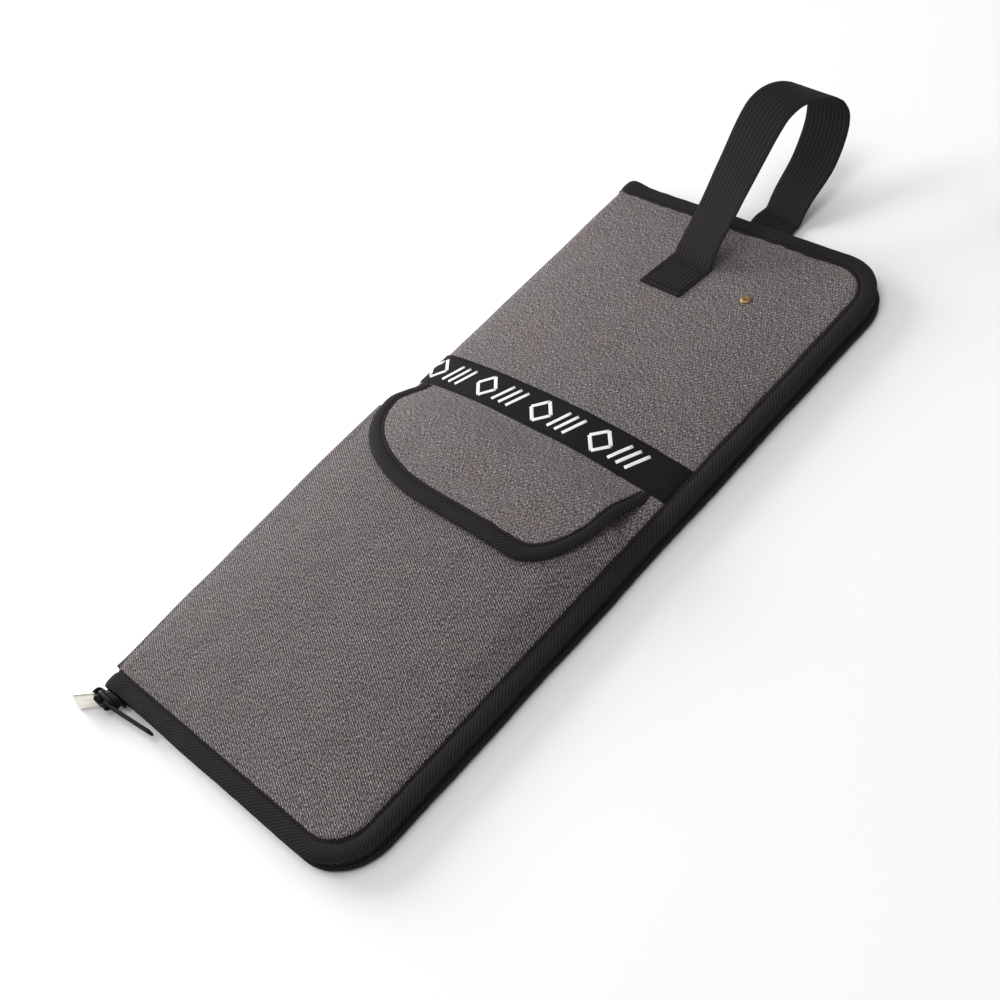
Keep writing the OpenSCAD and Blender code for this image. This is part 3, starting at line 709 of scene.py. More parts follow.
def binding_ring(origin, inward, up, s, thin):
    """Points of the binding's section at one station; where it is thin, its outer edge is also squarer."""
    ring = []
    square = (1 - thin) / (1 - CAP_THIN)
    for inset, depth in BINDING_SECTION:
        inner = rise(inset - 9, 3)
        wave = inner * (0.5 * ripple(s, 0, 8, 1.0) + 0.8 * ripple(s, 0, 26, 1.5))
        wave += 0.14 * ripple(s, inset * 3, 6, 2.0)
        wave += 0.35 * ripple(s, 0, 34, 3.5) * rise(6 - inset, 4)
        crown = 0.18 * ripple(s, inset * 2, 11, 4.0) * rise(12 - inset, 3)
        pleat = 0.12 * inner * math.sin(s * 2.1) * ripple(s, 0, 14, 6.0)
        d = depth if depth < 2 else 2 + (depth - 2) * thin
        if inset < 4:
            d *= 1 - 0.45 * square
            wave -= 0.9 * square
        ring.append(origin + inward * (inset + wave) + up * (CREST + 0.5 * square - d + crown + pleat))
    return ring


def make_binding():
    """Edge binding as one closed ring: the front rim, round the spine at the top, the back rim, and round the
    spine at the bottom."""
    section_u = lengths_along([(a, b, 0) for a, b in BINDING_SECTION])
    step = 2.5
    grid, weave = [], []
    s = 0.0

    def station(origin, inward, up, thin):
        nonlocal s
        if grid:
            s += (Vector(origin) - station.last).length
        station.last = Vector(origin)
        grid.append(binding_ring(Vector(origin), Vector(inward), Vector(up), s, thin))
        weave.append([(s, u) for u in section_u])

    def rim(z, up, backwards):
        path = rim_path(0, step)
        for (x, y), (nx, ny) in reversed(path) if backwards else path:
            thin = CAP_THIN + (1 - CAP_THIN) * rise(x - SPINE_X, 16)
            station((x, y, z), (nx, ny, 0), (0, 0, up), thin)

    def cap(y, inward_y, first, last):
        for a in spread(first, last, 11.25)[1:-1]:
            c, sn = math.cos(math.radians(a)), math.sin(math.radians(a))
            station((SPINE_X + SPINE_R * c, y, MID_Z + SPINE_R * sn), (0, inward_y, 0), (c, 0, sn), CAP_THIN)

    rim(RIM_T, 1, False)
    cap(HALF_L, -1, 90, 270)
    rim(0, -1, True)
    cap(-HALF_L, 1, 270, 90)
    for row in grid:
        for p in row:
            p.z = max(p.z, 0.02)
    obj = grid_object("edge_binding", grid, weave, close_rows=True, close_columns=True)
    dress(obj, BINDING)
    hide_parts("back_binding", "front_binding")
    spine_blend(obj)


def make_binding_stitches(name, z, up, body):
    path = [(x, y, z + up * (CREST - 0.85)) for (x, y), normal in rim_path(9.5, 2.0)]
    seam(name, path, (2.9, 2.3, 0.24), body, up)


def make_coil(name, z, side, node, body):
    """Nylon coil: a flattened helix of monofilament along the zipper tape."""
    pitch = 1.35
    per_turn = 9
    half_width, half_height, wire = 0.62, 0.52, 0.19
    path = rim_path(2.35, 1.0)
    along = lengths_along([(x, y, 0) for (x, y), normal in path])
    points = []
    k = 0
    for n in range(int(along[-1] / pitch * per_turn)):
        s = n * pitch / per_turn
        while k < len(along) - 2 and along[k + 1] < s:
            k += 1
        t = (s - along[k]) / (along[k + 1] - along[k])
        p = Vector(path[k][0]).lerp(Vector(path[k + 1][0]), t)
        inward = Vector(path[k][1]).lerp(Vector(path[k + 1][1]), t)
        a = 2 * math.pi * n / per_turn
        p = p + inward * half_width * math.cos(a)
        points.append((p.x, p.y, z + side * half_height * math.sin(a)))
    obj = tube(name, points, wire, sides=5)
    dress(obj, COIL)
    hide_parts(node)
    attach(obj, body)


# ---------------------------------------------------------------- pocket, band and flap

def pocket_z(x, y):
    lump = 0.5 * ripple(x, y, 55, 21.0) + 0.2 * ripple(x, y, 24, 23.0)
    edge = min(POCKET_X1 - x, y - POCKET_Y0)
    free = rise(x - POCKET_X0, 14) * rise(edge + 1, 14)
    pucker = 0.35 * math.exp(-max(0.0, edge) / 7) * ripple(x, y, 8, 25.0) * rise(x - POCKET_X0, 8)
    lip = 0.35 * rise(y - (MOUTH_Y - 14), 14) * ripple(x, 0, 30, 27.0) * free
    return front_top(x, y) + 0.95 + puff(x, y) + lump * free + pucker + lip - 0.45 * (1 - rise(edge, 4))


def pocket_bulge(y):
    """How far the pocket's cloth hangs out over the spine at y."""
    fullness = rise(y - POCKET_Y0 - 4, 60) * (1 - 0.35 * rise(MOUTH_Y - y, 160))
    return 3.2 * fullness + 0.3 * ripple(y, 0, 40, 29.0)


def pocket_spine_side(y):
    """Points of the pocket's cloth where it turns over the spine, up to the start of the panel's top."""
    x1 = POCKET_X0 + POCKET_SIDE
    z1 = pocket_z(x1, y)
    out = max(0.3, pocket_bulge(y))
    low = Vector((POCKET_X0 + 0.1, y, MID_Z + 2.0))
    side = Vector((-HALF_W - 0.7 * rise(y - POCKET_Y0, 25) - out, y, MID_Z + 7.0))
    top = Vector((POCKET_X0 - out * 0.55, y, z1 - 1.4))
    return smooth_path([low, side, top, Vector((x1, y, z1))], 1.2)


def make_pocket():
    """Front pocket panel up to its mouth, and the stitches of its turned hem."""
    ys = [y for y in rows_of(TUCK_IN, 3.0) if y < MOUTH_Y - 8] + spread(MOUTH_Y - 8, MOUTH_Y, 1.0)
    grid, weave = [], []
    start = POCKET_X0 + POCKET_SIDE
    for y in ys:
        end = edge_x(y, TUCK_IN)
        side = pocket_spine_side(y)
        row = [tuple(side[0])]
        along = lengths_along(side)
        for i in range(1, 14):
            s = along[-1] * i / 14
            k = max(j for j in range(len(along) - 1) if along[j] <= s)
            row.append(tuple(side[k].lerp(side[k + 1], (s - along[k]) / (along[k + 1] - along[k]))))
        for i in range(73):
            t = i / 72
            x = start + (end - start) * (t * 0.85 + 0.15 * t * t)
            row.append((x, y, pocket_z(x, y)))
        grid.append(row)
        weave.append([(u, y) for u in recentred(row)])
    panel = thicken(grid_object("pocket_panel", grid, weave), 0.7)
    dress(panel, HEATHER_POCKET_SHADED)
    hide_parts("front_pocket", "front_pocket_hem")
    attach(panel, "front_cover")
    hem_y = MOUTH_Y - 7
    line = [(x, hem_y, pocket_z(x, hem_y) + 0.02) for x in spread(start, edge_x(hem_y, RIM_IN), 2.0)]
    hem = seam("pocket_hem_stitches", line, (2.9, 2.2, 0.2), "front_cover")


BAND_RISE = 0.8    # the band's face stands this far above the outer fabric


def band_point(u, v, lift):
    """Point on the trim band: u is the place along it, from 0 at the spine's front edge, and v across it."""
    y = FLAP_Y + 0.1 + v
    cut = BAND_RISE + lift
    if u >= 0:
        x = SPINE_X + u
        crown = 0.12 * ripple(u, v, 22, 31.0)
        return Vector((x, y, soft_front(x, y) + cut + crown * rise(u, 10)))
    a = math.radians(90 + math.degrees(-u / (SPINE_R + cut)))
    if a < math.radians(270):
        r = SPINE_R + cut * (1 - 0.9 * rise(math.degrees(a) - 180, 90))
        return Vector((SPINE_X + r * math.cos(a), y, MID_Z + r * math.sin(a)))
    x = SPINE_X + (math.degrees(a) - 270) * math.pi / 180 * (SPINE_R + cut)
    return Vector((x, y, BACK_LIFT - 0.45))


BAND_END = HALF_W - RIM_IN + 1 - SPINE_X


def make_band():
    half_turn = math.pi * (SPINE_R + BAND_RISE)
    us = spread(-half_turn - BAND_END, -half_turn, 4.0)[:-1]
    us += spread(-half_turn, 0, 1.2)[:-1] + spread(0, BAND_END, 2.5)
    vs = [0, 0.5] + spread(1, BAND_W - 1, 2.0) + [BAND_W - 0.5, BAND_W]
    grid, weave = [], []
    for v in vs:
        edge = min(v, BAND_W - v)
        sink = -0.35 * (1 - rise(edge, 0.8))
        grid.append([band_point(u, v + 0.15 * ripple(u, v, 15, 33.0), sink) for u in us])
        weave.append([(u, v) for u in us])
    band = grid_object("trim_band", grid, weave)
    thicken(band, 0.5)
    for vertex in band.data.vertices:
        vertex.co.z = max(vertex.co.z, 0.00003)
    dress(band, SATIN)
    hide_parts("band_front", "band_back")
    spine_blend(band)
    for name, v in (("band_stitches_upper", BAND_W - 1.3), ("band_stitches_lower", 1.3)):
        line = [band_point(u, v, 0.03) for u in spread(1, BAND_END - 2, 2.0)]
        seam(name, line, (2.6, 2.1, 0.16), "front_cover")


def print_stroke(outline):
    """Thin printed mark on the band: a four-cornered stroke laid on the ribbon's surface."""
    a, b, c, d = (Vector(p) for p in outline)
    rows = []
    weave = []
    for j in range(7):
        left, right = a.lerp(d, j / 6), b.lerp(c, j / 6)
        row = [left.lerp(right, i / 6) for i in range(7)]
        rows.append([band_point(p.x, p.y, 0.05) for p in row])
        weave.append([(p.x, p.y) for p in row])
    return grid_object("stroke", rows, weave)


def make_print():
    """Generic print along the band: open diamonds, each with three slanting bars after it."""
    stroke = 2.2
    low, high = 4.6, BAND_W - 4.6
    mid = (low + high) / 2
    marks = []

    def bar(u0, v0, u1, v1):
        direction = Vector((u1 - u0, v1 - v0)).normalized()
        side = Vector((-direction.y, direction.x)) * stroke / 2
        corners = [(u0 + side.x, v0 + side.y), (u0 - side.x, v0 - side.y),
                   (u1 - side.x, v1 - side.y), (u1 + side.x, v1 + side.y)]
        marks.append(print_stroke(corners))

    pitch = 46.0
    half = (high - low) / 2
    first = 1.0
    for k in range(1 + int((BAND_END - half - stroke - first) // pitch)):
        u = first + k * pitch
        for du, dv in ((half, 0), (0, half), (-half, 0), (0, -half)):
            eu, ev = -dv, du
            bar(u + du, mid + dv, u + eu, mid + ev)
        for shift in (14.5, 20.5, 26.5):
            if u + shift + 6 < BAND_END:
                bar(u + shift - 3.5, low + 1, u + shift + 3.5, high - 1)
    obj = join("band_print", marks)
    thicken(obj, 0.06)
    dress(obj, INK)
    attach(obj, "front_cover")


def flap_top(x, y):
    lump = 0.45 * ripple(x, y, 42, 41.0) + 0.18 * ripple(x, y, 18, 43.0)
    free = rise(FLAP_Y - y, 12)
    root = soft_front(x, y) + 0.1 + 0.45 * rise(FLAP_Y - y, 4)
    return root + (flap_under(x, y) + FLAP_T + 0.5 + lump - root) * free


# Edges of the flap as sewn: its spine side, its zipper side and its lower edge, and the half axes of the
# rounded corner on each side
FLAP_X0 = FLAP_X - FLAP_W / 2 - 6.5
FLAP_X1 = FLAP_X + FLAP_W / 2 - 2.5
FLAP_Y0 = FLAP_BOTTOM + 2
FLAP_CORNERS = ((90, 50), (34, 56))


def flap_ends(y, inset):
    """Both ends of a row of the flap at y, at an inset from its edge."""
    ends = []
    for side, edge, (rx, ry) in zip((1, -1), (FLAP_X0, FLAP_X1), FLAP_CORNERS):
        d = min(1.0, max(0.0, FLAP_Y0 + ry - y) / (ry - inset))
        ends.append(edge + side * (inset + (rx - inset) * (1 - math.sqrt(1 - d * d))))
    return ends


def flap_side(side, edge, half_axes, step):
    """Points down one side of the flap and round its corner, with outward normals."""
    rx, ry = half_axes
    cx, cy = edge + side * rx, FLAP_Y0 + ry
    points = [((edge, y), (-side, 0)) for y in spread(FLAP_Y + 3, cy, step)]
    for turn in spread(0, 90, math.degrees(step / ry))[1:]:
        c, sn = math.cos(math.radians(turn)), math.sin(math.radians(turn))
        normal = Vector((-side * c / rx, -sn / ry)).normalized()
        points.append(((cx - side * rx * c, cy - ry * sn), tuple(normal)))
    return points


def flap_outline(step):
    """Points round the flap's three free sides, from its root on the spine side, with outward normals."""
    left = flap_side(1, FLAP_X0, FLAP_CORNERS[0], step)
    right = flap_side(-1, FLAP_X1, FLAP_CORNERS[1], step)
    right_start = FLAP_X1 - FLAP_CORNERS[1][0]
    bottom = [((x, FLAP_Y0), (0, -1)) for x in spread(left[-1][0][0], right_start, step)[1:-1]]
    return left + bottom + list(reversed(right))


# Flap's binding in section: [distance in from the edge, depth below its crest]
FLAP_SECTION = [
    (11.2, 1.5), (11.0, 0.55), (10.3, 0.3), (9.3, 0.5), (8.8, 0.85), (8.2, 0.45), (6.6, 0.08), (4.6, 0.0),
    (2.6, 0.2), (1.1, 0.75), (0.3, 1.4), (0.0, 2.0), (0.4, 2.6), (1.4, 2.9), (4.4, 2.9), (8.2, 2.8),
    (10.8, 2.6), (11.1, 2.1),
]


def hinge_blend(obj):
    """Cloth that turns over along the root of the flap."""
    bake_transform(obj)


def tape_share(nx):
    """Share of its full width that the flap's tape shows, less where it rolls under on the zipper side."""
    return 1 - 0.3 * max(0.0, nx) ** 2


def make_flap():
    inset = FLAP_TAPE - 1.2
    low = FLAP_Y0 + inset
    ys = [low + 40 * (1 - math.cos(math.radians(a))) for a in range(1, 56, 6)]
    ys = [low] + ys + spread(ys[-1], FLAP_Y + 2.5, 2.0)[1:]
    grid, weave = [], []
    for y in ys:
        left, right = flap_ends(y, inset)
        right += 3 * rise(y - low, 30)
        row = [(x, y, flap_top(x, y) - 0.25) for x in [left + (right - left) * i / 64 for i in range(65)]]
        grid.append(row)
        weave.append([(p[0], y) for p in row])
    flap = thicken(grid_object("flap_fabric", grid, weave), 0.8)
    dress(flap, HEATHER)
    back_rows = [[(x, y, z - 1.0) for x, y, z in row] for row in grid]
    back = thicken(grid_object("flap_lining", back_rows, weave), 0.5)
    dress(back, LINING)

    section_u = lengths_along([(a, b, 0) for a, b in FLAP_SECTION])
    rings, ring_weave = [], []
    path = flap_outline(2.5)
    s = 0.0
    for k, ((x, y), (nx, ny)) in enumerate(path):
        if k:
            s += (Vector(path[k][0]) - Vector(path[k - 1][0])).length
        ring = []
        narrow = tape_share(nx)
        for full, depth in FLAP_SECTION:
            inset_in = full * narrow
            inner = rise(full - 8, 3)
            wave = 0.5 * inner * ripple(s, 0, 8, 51.0)
            px, py = x - nx * (inset_in + wave), y - ny * (inset_in + wave)
            crown = 0.15 * ripple(s, inset_in * 2, 10, 53.0)
            ring.append((px, py, flap_top(px, py) + 0.35 - depth + crown))
        rings.append(ring)
        ring_weave.append([(s, u) for u in section_u])
    tape = grid_object("flap_tape", rings, ring_weave, close_columns=True, caps=True)
    dress(tape, BINDING)
    line = []
    for (x, y), (nx, ny) in flap_outline(2.0):
        at = 8.8 * tape_share(nx)
        line.append((x - nx * at, y - ny * at, flap_top(x - nx * at, y - ny * at) - 0.38))
    threads = seam("flap_stitches", line, (2.9, 2.3, 0.2))
    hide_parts("flap_panel")
    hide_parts("flap_binding")
    for piece in (flap, back, tape, threads):
        hinge_blend(piece)


# ---------------------------------------------------------------- handle

def web_z(x, y):
    return soft_front(x, y) + 0.35 + WEB_T / 2


# Middle of the handle's webbing as [x, y, z, yaw, roll], with angles in degrees; z is None on the cover
HANDLE_FRONT = [
    (-10.3, 151.4, None, -2, 0), (-9.7, 160.5, None, -3.5, 0), (-9.0, 169.5, None, -5, 0),
    (-8.4, 176, None, -6.5, 0), (-8.0, 180.2, None, -8, 0.5), (-7.8, 181.6, 21.3, -8.3, 1.5),
    (-7.5, 184.5, 24.2, -8.5, 2.5), (-6.7, 192.8, 30.3, -10, 4.5), (-5.2, 203.7, 38.1, -10, 4),
    (-3.7, 214.5, 46.4, -10, 2.5), (-1.5, 228.4, 57.5, -8, 0), (0.7, 242.4, 68.6, -6, -3.5),
    (2.0, 249.8, 74.2, -5, -5), (3.1, 257.5, 78.3, -5, -6), (4.2, 266.4, 79.4, -5, -6),
    (4.8, 275.3, 77.4, -5, -6), (5.2, 283.7, 73.6, -5, -5), (5.5, 291.6, 68.2, -4, -4),
    (5.8, 297.9, 62.5, -3, -2.5),
]
HANDLE_REAR = [
    (5.8, 297.9, 62.5, -3, -2.5), (5.8, 302.4, 56.2, -2, -1.5), (5.8, 304.8, 47.2, -1, -1),
    (5.7, 302.2, 38.7, 0, -1), (5.7, 296.4, 31.4, 0, -1), (5.7, 289.3, 25.3, 0, -1),
    (5.7, 281.7, 20.2, -1, -0.5), (5.2, 273.5, 15.9, -4, 0.5), (4.6, 264.8, 12.2, -7, 2),
    (3.8, 257.0, 7.6, -11, 2), (3.3, 252.0, 3.3, -13, 1), (3.1, 249.6, 1.9, -13, 0.5),
    (3.0, 247.5, 2.1, -11, 0), (3.0, 242.0, 2.9, -4, 0), (3.0, 236.0, 1.9, 0, 0), (3.0, 230.0, 1.0, 0, 0),
    (3.0, 200.0, 1.0, 0, 0), (3.0, 156.0, 1.0, 0, 0),
]


def webbing_strip(name, path, turns, width, thickness, ribs):
    """Woven strap along a path of points, with ribs along its length and rounded edges.
    turns holds the yaw and roll of its width away from +X at each point, in radians."""
    along = lengths_along(path)
    half = width / 2
    across = [0.0, 0.35] + spread(0.8, width - 0.8, width / ribs / 4) + [width - 0.35, width]
    grid, weave = [], []
    for k, (p, (yaw, roll)) in enumerate(zip(path, turns)):
        tangent = (path[min(k + 1, len(path) - 1)] - path[max(k - 1, 0)]).normalized()
        side = Vector((math.cos(yaw) * math.cos(roll), math.sin(yaw) * math.cos(roll), math.sin(roll)))
        up = side.cross(tangent).normalized()
        ring, ring_weave = [], []
        for sign, order in ((1, across), (-1, list(reversed(across)))):
            for a in order:
                edge = min(a, width - a)
                rib = 0.035 * math.cos(2 * math.pi * a * ribs / width) * rise(edge, 1.2)
                curl = 0.25 * ripple(along[k], a / 2, 26, 71.0) * rise(along[k] - 34, 20)
                h = (thickness / 2 - 0.1 + rib) * (0.25 + 0.75 * rise(edge, 0.8))
                ring.append(p + side * (a - half) + up * (sign * h + curl))
                ring_weave.append((along[k], a))
        grid.append(ring)
        weave.append(ring_weave)
    return grid_object(name, grid, weave, close_columns=True, caps=True)


def handle_path(stations, step):
    """Smooth path through the stations and the webbing's yaw and roll along it."""
    stations = [(x, y, web_z(x, y) if z is None else z, yaw, roll) for x, y, z, yaw, roll in stations]
    places = smooth_path([p[:3] for p in stations], step)
    angles = smooth_path([(*p[3:], 0) for p in stations], 1e9)
    marks = lengths_along([p[:3] for p in stations])
    run = lengths_along(places)
    scale = marks[-1] / run[-1]
    turns = []
    for s in run:
        k = max(j for j in range(len(marks) - 1) if marks[j] <= s * scale + 1e-6)
        t = min(1.0, (s * scale - marks[k]) / (marks[k + 1] - marks[k]))
        yaw, roll, unused = angles[k].lerp(angles[k + 1], t)
        turns.append((math.radians(yaw), math.radians(roll)))
    return places, turns


def make_handle():
    places, turns = handle_path(HANDLE_FRONT, 1.5)
    web = webbing_strip("handle_front_webbing", places, turns, WEB_W, WEB_T, WEB_RIBS)
    dress(web, WEBBING)
    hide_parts("handle_front")
    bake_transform(web)
    places, turns = handle_path(HANDLE_REAR, 1.5)
    web = webbing_strip("handle_rear_webbing", places, turns, WEB_W, WEB_T, WEB_RIBS)
    for vertex in web.data.vertices:
        vertex.co.z = max(vertex.co.z, 0.00005)
    dress(web, WEBBING)
    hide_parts("handle_rear", "handle_rear_tab")
    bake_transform(web)
    box = [(-24, 155), (3.5, 154), (5.2, 173), (-21.5, 176), (-24, 155)]
    line = []
    for (xa, ya), (xb, yb) in zip(box, box[1:]):
        for t in spread(0, 1, 0.1)[:-1]:
            x, y = xa + (xb - xa) * t, ya + (yb - ya) * t
            line.append((x, y, web_z(-9, y) + WEB_T / 2 - 0.02))
    seam("handle_box_stitches", line, (2.8, 2.3, 0.2), "front_cover")


# ---------------------------------------------------------------- metal pieces

def make_rivets():
    lo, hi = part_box("rivet_front")
    centre = ((lo + hi) / 2) / MM
    top = front_top(centre.x, centre.y) + 0.25
    profile = [(1.4, -9), (1.4, 0), (3.3, 0.0), (3.45, 0.25), (3.2, 0.75), (2.6, 1.15), (1.9, 1.3),
               (1.2, 1.15), (0.5, 1.05), (0.05, 1.05)]
    cap = lathe("rivet_front_cap", profile, (centre.x, centre.y, top))
    burr_z = lo.z / MM
    profile = [(0.05, 0.0), (1.2, 0.0), (1.5, 0.25), (2.8, 0.25), (3.0, 0.5), (2.9, 0.85), (1.4, 0.9),
               (1.4, 3)]
    burr = lathe("rivet_front_burr", profile, (centre.x, centre.y, burr_z))
    piece = join("rivet_front_brass", [cap, burr])
    dress(piece, BRASS)
    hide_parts("rivet_front")
    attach(piece, "front_cover")
    lo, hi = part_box("rivet_back")
    cap = lathe("rivet_back_cap", [(0.05, 0.0), (3.2, 0.05), (3.9, 0.35), (3.8, 0.8), (1.4, 0.9), (1.4, 5)],
                (centre.x, centre.y, lo.z / MM))
    profile = [(1.4, -2.6), (1.4, -0.9), (2.9, -0.85), (3.0, -0.5), (2.8, -0.2), (1.5, -0.2), (1.2, 0),
               (0.05, 0)]
    burr = lathe("rivet_back_burr", profile, (centre.x, centre.y, hi.z / MM))
    piece = join("rivet_back_brass", [cap, burr])
    dress(piece, BRASS)
    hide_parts("rivet_back")
    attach(piece, "back_cover")


def make_slider():
    """Zipper slider: plates outside and inside the coils, a crown with the pull's lug, and the pull."""
    y = -HALF_L
    lo, hi = (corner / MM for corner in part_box("zip_slider"))
    crown_x = lo.x + 7.1
    plate_x = hi.x - 7
    pull_lo, pull_hi = (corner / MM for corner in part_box("zip_pull"))
    pivot = Vector((pull_lo.x + 1, pull_lo.y + 1, MID_Z))
    parts = [
        rounded_plate("outer", (14.4, 1.8, 9.4), (plate_x, y - 1.75, MID_Z), 3.6, 0.5),
        rounded_plate("neck", (13.0, 2.0, 3.2), (plate_x, y + 0.4, MID_Z), 1.2, 0.2),
        rounded_plate("web", (5.0, 5.4, 0.6), (plate_x - 0.5, y + 1.8, MID_Z), 0.28, 0.1),
        rounded_plate("inner", (12.0, 0.8, 2.6), (plate_x, y + 4.2, MID_Z), 1.1, 0.2),
        rounded_plate("bridge", (13.0, 3.0, 7.4), (plate_x - 2.5, y - 3.0, MID_Z), 2.8, 0.3),
        rounded_plate("crown", (16.4, 3.6, 9.6), (crown_x + 0.6, y - 5.2, MID_Z), 4.2, 1.0),
        rounded_plate("crown_ridge", (10.6, 1.4, 5.4), (crown_x - 0.4, y - 7.1, MID_Z), 2.4, 0.6),
        rounded_plate("boss", (6.4, 4.4, 8.6), (pivot.x - 5.6, pivot.y - 0.8, MID_Z), 2.6, 1.0),
    ]
    cheek = [(-3.2, 3.4), (-3.3, 0.6), (-2.4, -2.0), (0.0, -3.0), (2.4, -2.0), (3.3, 0.6), (3.2, 3.4)]
    outline = [(p.x, p.y) for p in smooth_path([(a, b, 0) for a, b in cheek], 0.5)]
    for z in (-1.5, 1.5):
        rows = [[(pivot.x + a * k, pivot.y + b * k + 0.6 * (1 - k), MID_Z + z + dz) for a, b in outline]
                for k, dz in ((0.86, -0.75), (1.0, -0.4), (1.0, 0.4), (0.86, 0.75))]
        parts.append(grid_object("lug", rows, close_columns=True, caps=True))
    body = join("slider_body", parts)
    dress(body, ENAMEL)
    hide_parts("zip_slider")
    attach(body, "slider")

    wire = 0.8
    rail = (pull_hi.z - pull_lo.z) / 2 - wire
    turn = math.radians(PULL_TURN)
    length = (pull_hi.x - pivot.x) / math.cos(turn) - wire
    loop = []

    def corner_arc(cx, cz, r, first, last):
        for a in spread(first, last, 18):
            loop.append((cx + r * math.cos(math.radians(a)), cz + r * math.sin(math.radians(a))))

    bend = 1.0
    corner_arc(bend, rail - bend, bend, 90, 180)
    corner_arc(bend, bend - rail, bend, 180, 270)
    loop += [(t, -rail) for t in spread(bend + 2, length - rail - 2, 3.0)]
    corner_arc(length - rail, 0, rail, -90, 90)
    loop += [(t, rail) for t in spread(length - rail - 2, bend + 2, 3.0)]
    places = [pivot + Vector((t * math.cos(turn), t * math.sin(turn), z)) for t, z in loop]
    pull = tube("pull_loop", places, wire, sides=14, closed=True)
    dress(pull, ENAMEL)
    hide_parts("zip_pull")
    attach(pull, "pull")


def make_zip_tail():
    """Free end of the zipper behind the slider's crown, and the folded metal clip that closes it."""
    start = Vector((-104.9, -239.2, MID_Z))
    turn = math.radians(218.5)
    direction = Vector((math.cos(turn), math.sin(turn), 0))
    side = Vector((-direction.y, direction.x, 0))
    grid = []
    for s, width, gape in ((0.0, 13.6, 0.95), (0.4, 14.0, 1.1), (6, 14.2, 1.15), (12.7, 14.2, 1.15),
                           (13.2, 13.9, 1.0)):
        ring = []
        for way in (1, -1):
            for k in range(25):
                t = (k / 24 * 2 - 1) * way
                crease = 0.3 * math.exp(-((t - 0.1) / 0.1) ** 2)
                fold = math.sqrt(max(0.0, 1 - abs(t) ** 8))
                lean = -0.25 * width / 2 * t
                ring.append(start + direction * (s + lean) + side * (way * gape * fold - crease)
                            + Vector((0, 0, width / 2 * t)))
        grid.append(ring)
    clip = grid_object("zip_tail_clip", grid, close_columns=True, caps=True)
    dress(clip, NICKEL)
    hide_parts("zip_end_clip")
    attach(clip, "back_cover")
    bends = ((-102.3, -224), (-102.4, -229), (-103.2, -232.2), (-106.6, -233.3), (-107.5, -236),
             (-107.4, -240.6))
    route = smooth_path([(x, y, MID_Z) for x, y in bends], 0.8)
    grid, weave = [], []
    along = lengths_along(route)
    for k, p in enumerate(route):
        tangent = (route[min(k + 1, len(route) - 1)] - route[max(0, k - 1)]).normalized()
        out = Vector((-tangent.y, tangent.x, 0))
        half = 1.8 + 2.6 * rise(along[k] - 9, 5)
        ring, marks = [], []
        for sign in (1, -1):
            for i in range(9):
                t = (i / 8 * 2 - 1) * sign
                ring.append(p + out * sign * 0.5 * (1 - 0.5 * abs(t) ** 3) + Vector((0, 0, half * t)))
                marks.append((along[k], half * t))
        grid.append(ring)
        weave.append(marks)
    tail = grid_object("zip_tail_tape", grid, weave, close_columns=True, caps=True)
    dress(tail, BINDING)
    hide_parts("zip_tail")
    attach(tail, "back_cover")


# ---------------------------------------------------------------- inside

SLEEVE_X0, SLEEVE_Y0 = (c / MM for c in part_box("stick_pocket")[0][:2])
SLEEVE_X1, SLEEVE_Y1 = (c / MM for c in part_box("stick_pocket_tape")[1][:2])
SLEEVES = 3
SLEEVE_W = (SLEEVE_X1 - SLEEVE_X0) / SLEEVES
SLEEVE_GAP = 4.6
INNER_X0, INNER_Y0 = (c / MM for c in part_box("inner_pocket")[0][:2])
INNER_X1, INNER_Y1 = (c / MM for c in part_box("inner_pocket_tape")[1][:2])
INNER_GAP = 4.7


def sleeve_z(x, y):
    u = (x - SLEEVE_X0) / SLEEVE_W
    d = SLEEVE_W * min(u - math.floor(u), math.ceil(u) - u)
    body = rise(d, 8) * rise(y - SLEEVE_Y0, 8)
    return BACK_IN_Z + PANEL_T + SLEEVE_GAP * body + 0.18 * body * ripple(x, y, 20, 61.0)


def inner_z(x, y):
    sides = rise(x - INNER_X0, 8) * rise(INNER_X1 - x, 8) * rise(y - INNER_Y0, 8)
    return FRONT_IN_Z - 0.1 + dome(x, y) - INNER_GAP * sides - PANEL_T - 0.15 * sides * ripple(x, y, 20, 63.0)


def pocket_piece(name, x0, x1, y0, y1, height, facing, nodes, body):
    """Sewn-on pocket inside a cover: its panel, and the tape along its mouth."""
    xs, ys = spread(x0, x1, 1.75), spread(y0, y1, 4.0)
    grid = [[(x, y, height(x, y)) for x in xs] for y in ys]
    weave = [[(u, y) for u in lengths_along(row)] for row, y in zip(grid, ys)]
    panel = grid_object(name, grid, weave)
    if facing < 0:
        panel.data.flip_normals()
    thicken(panel, 0.6)
    dress(panel, SLEEVE)
    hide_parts(nodes[0])
    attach(panel, body)
    tape_rows, tape_weave = [], []
    for dy, lift in ((-7, 0.0), (-6.8, 0.3), (-3.5, 0.45), (-0.4, 0.35), (0, 0.0), (-0.3, -0.6), (-1.5, -0.8)):
        y = y1 + dy
        tape_rows.append([(x, y, height(x, y) + facing * lift) for x in xs])
        tape_weave.append([(x, dy) for x in xs])
    tape = grid_object(name + "_mouth_tape", tape_rows, tape_weave)
    if facing < 0:
        tape.data.flip_normals()
    thicken(tape, 0.25)
    dress(tape, BINDING)
    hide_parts(nodes[1])
    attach(tape, body)


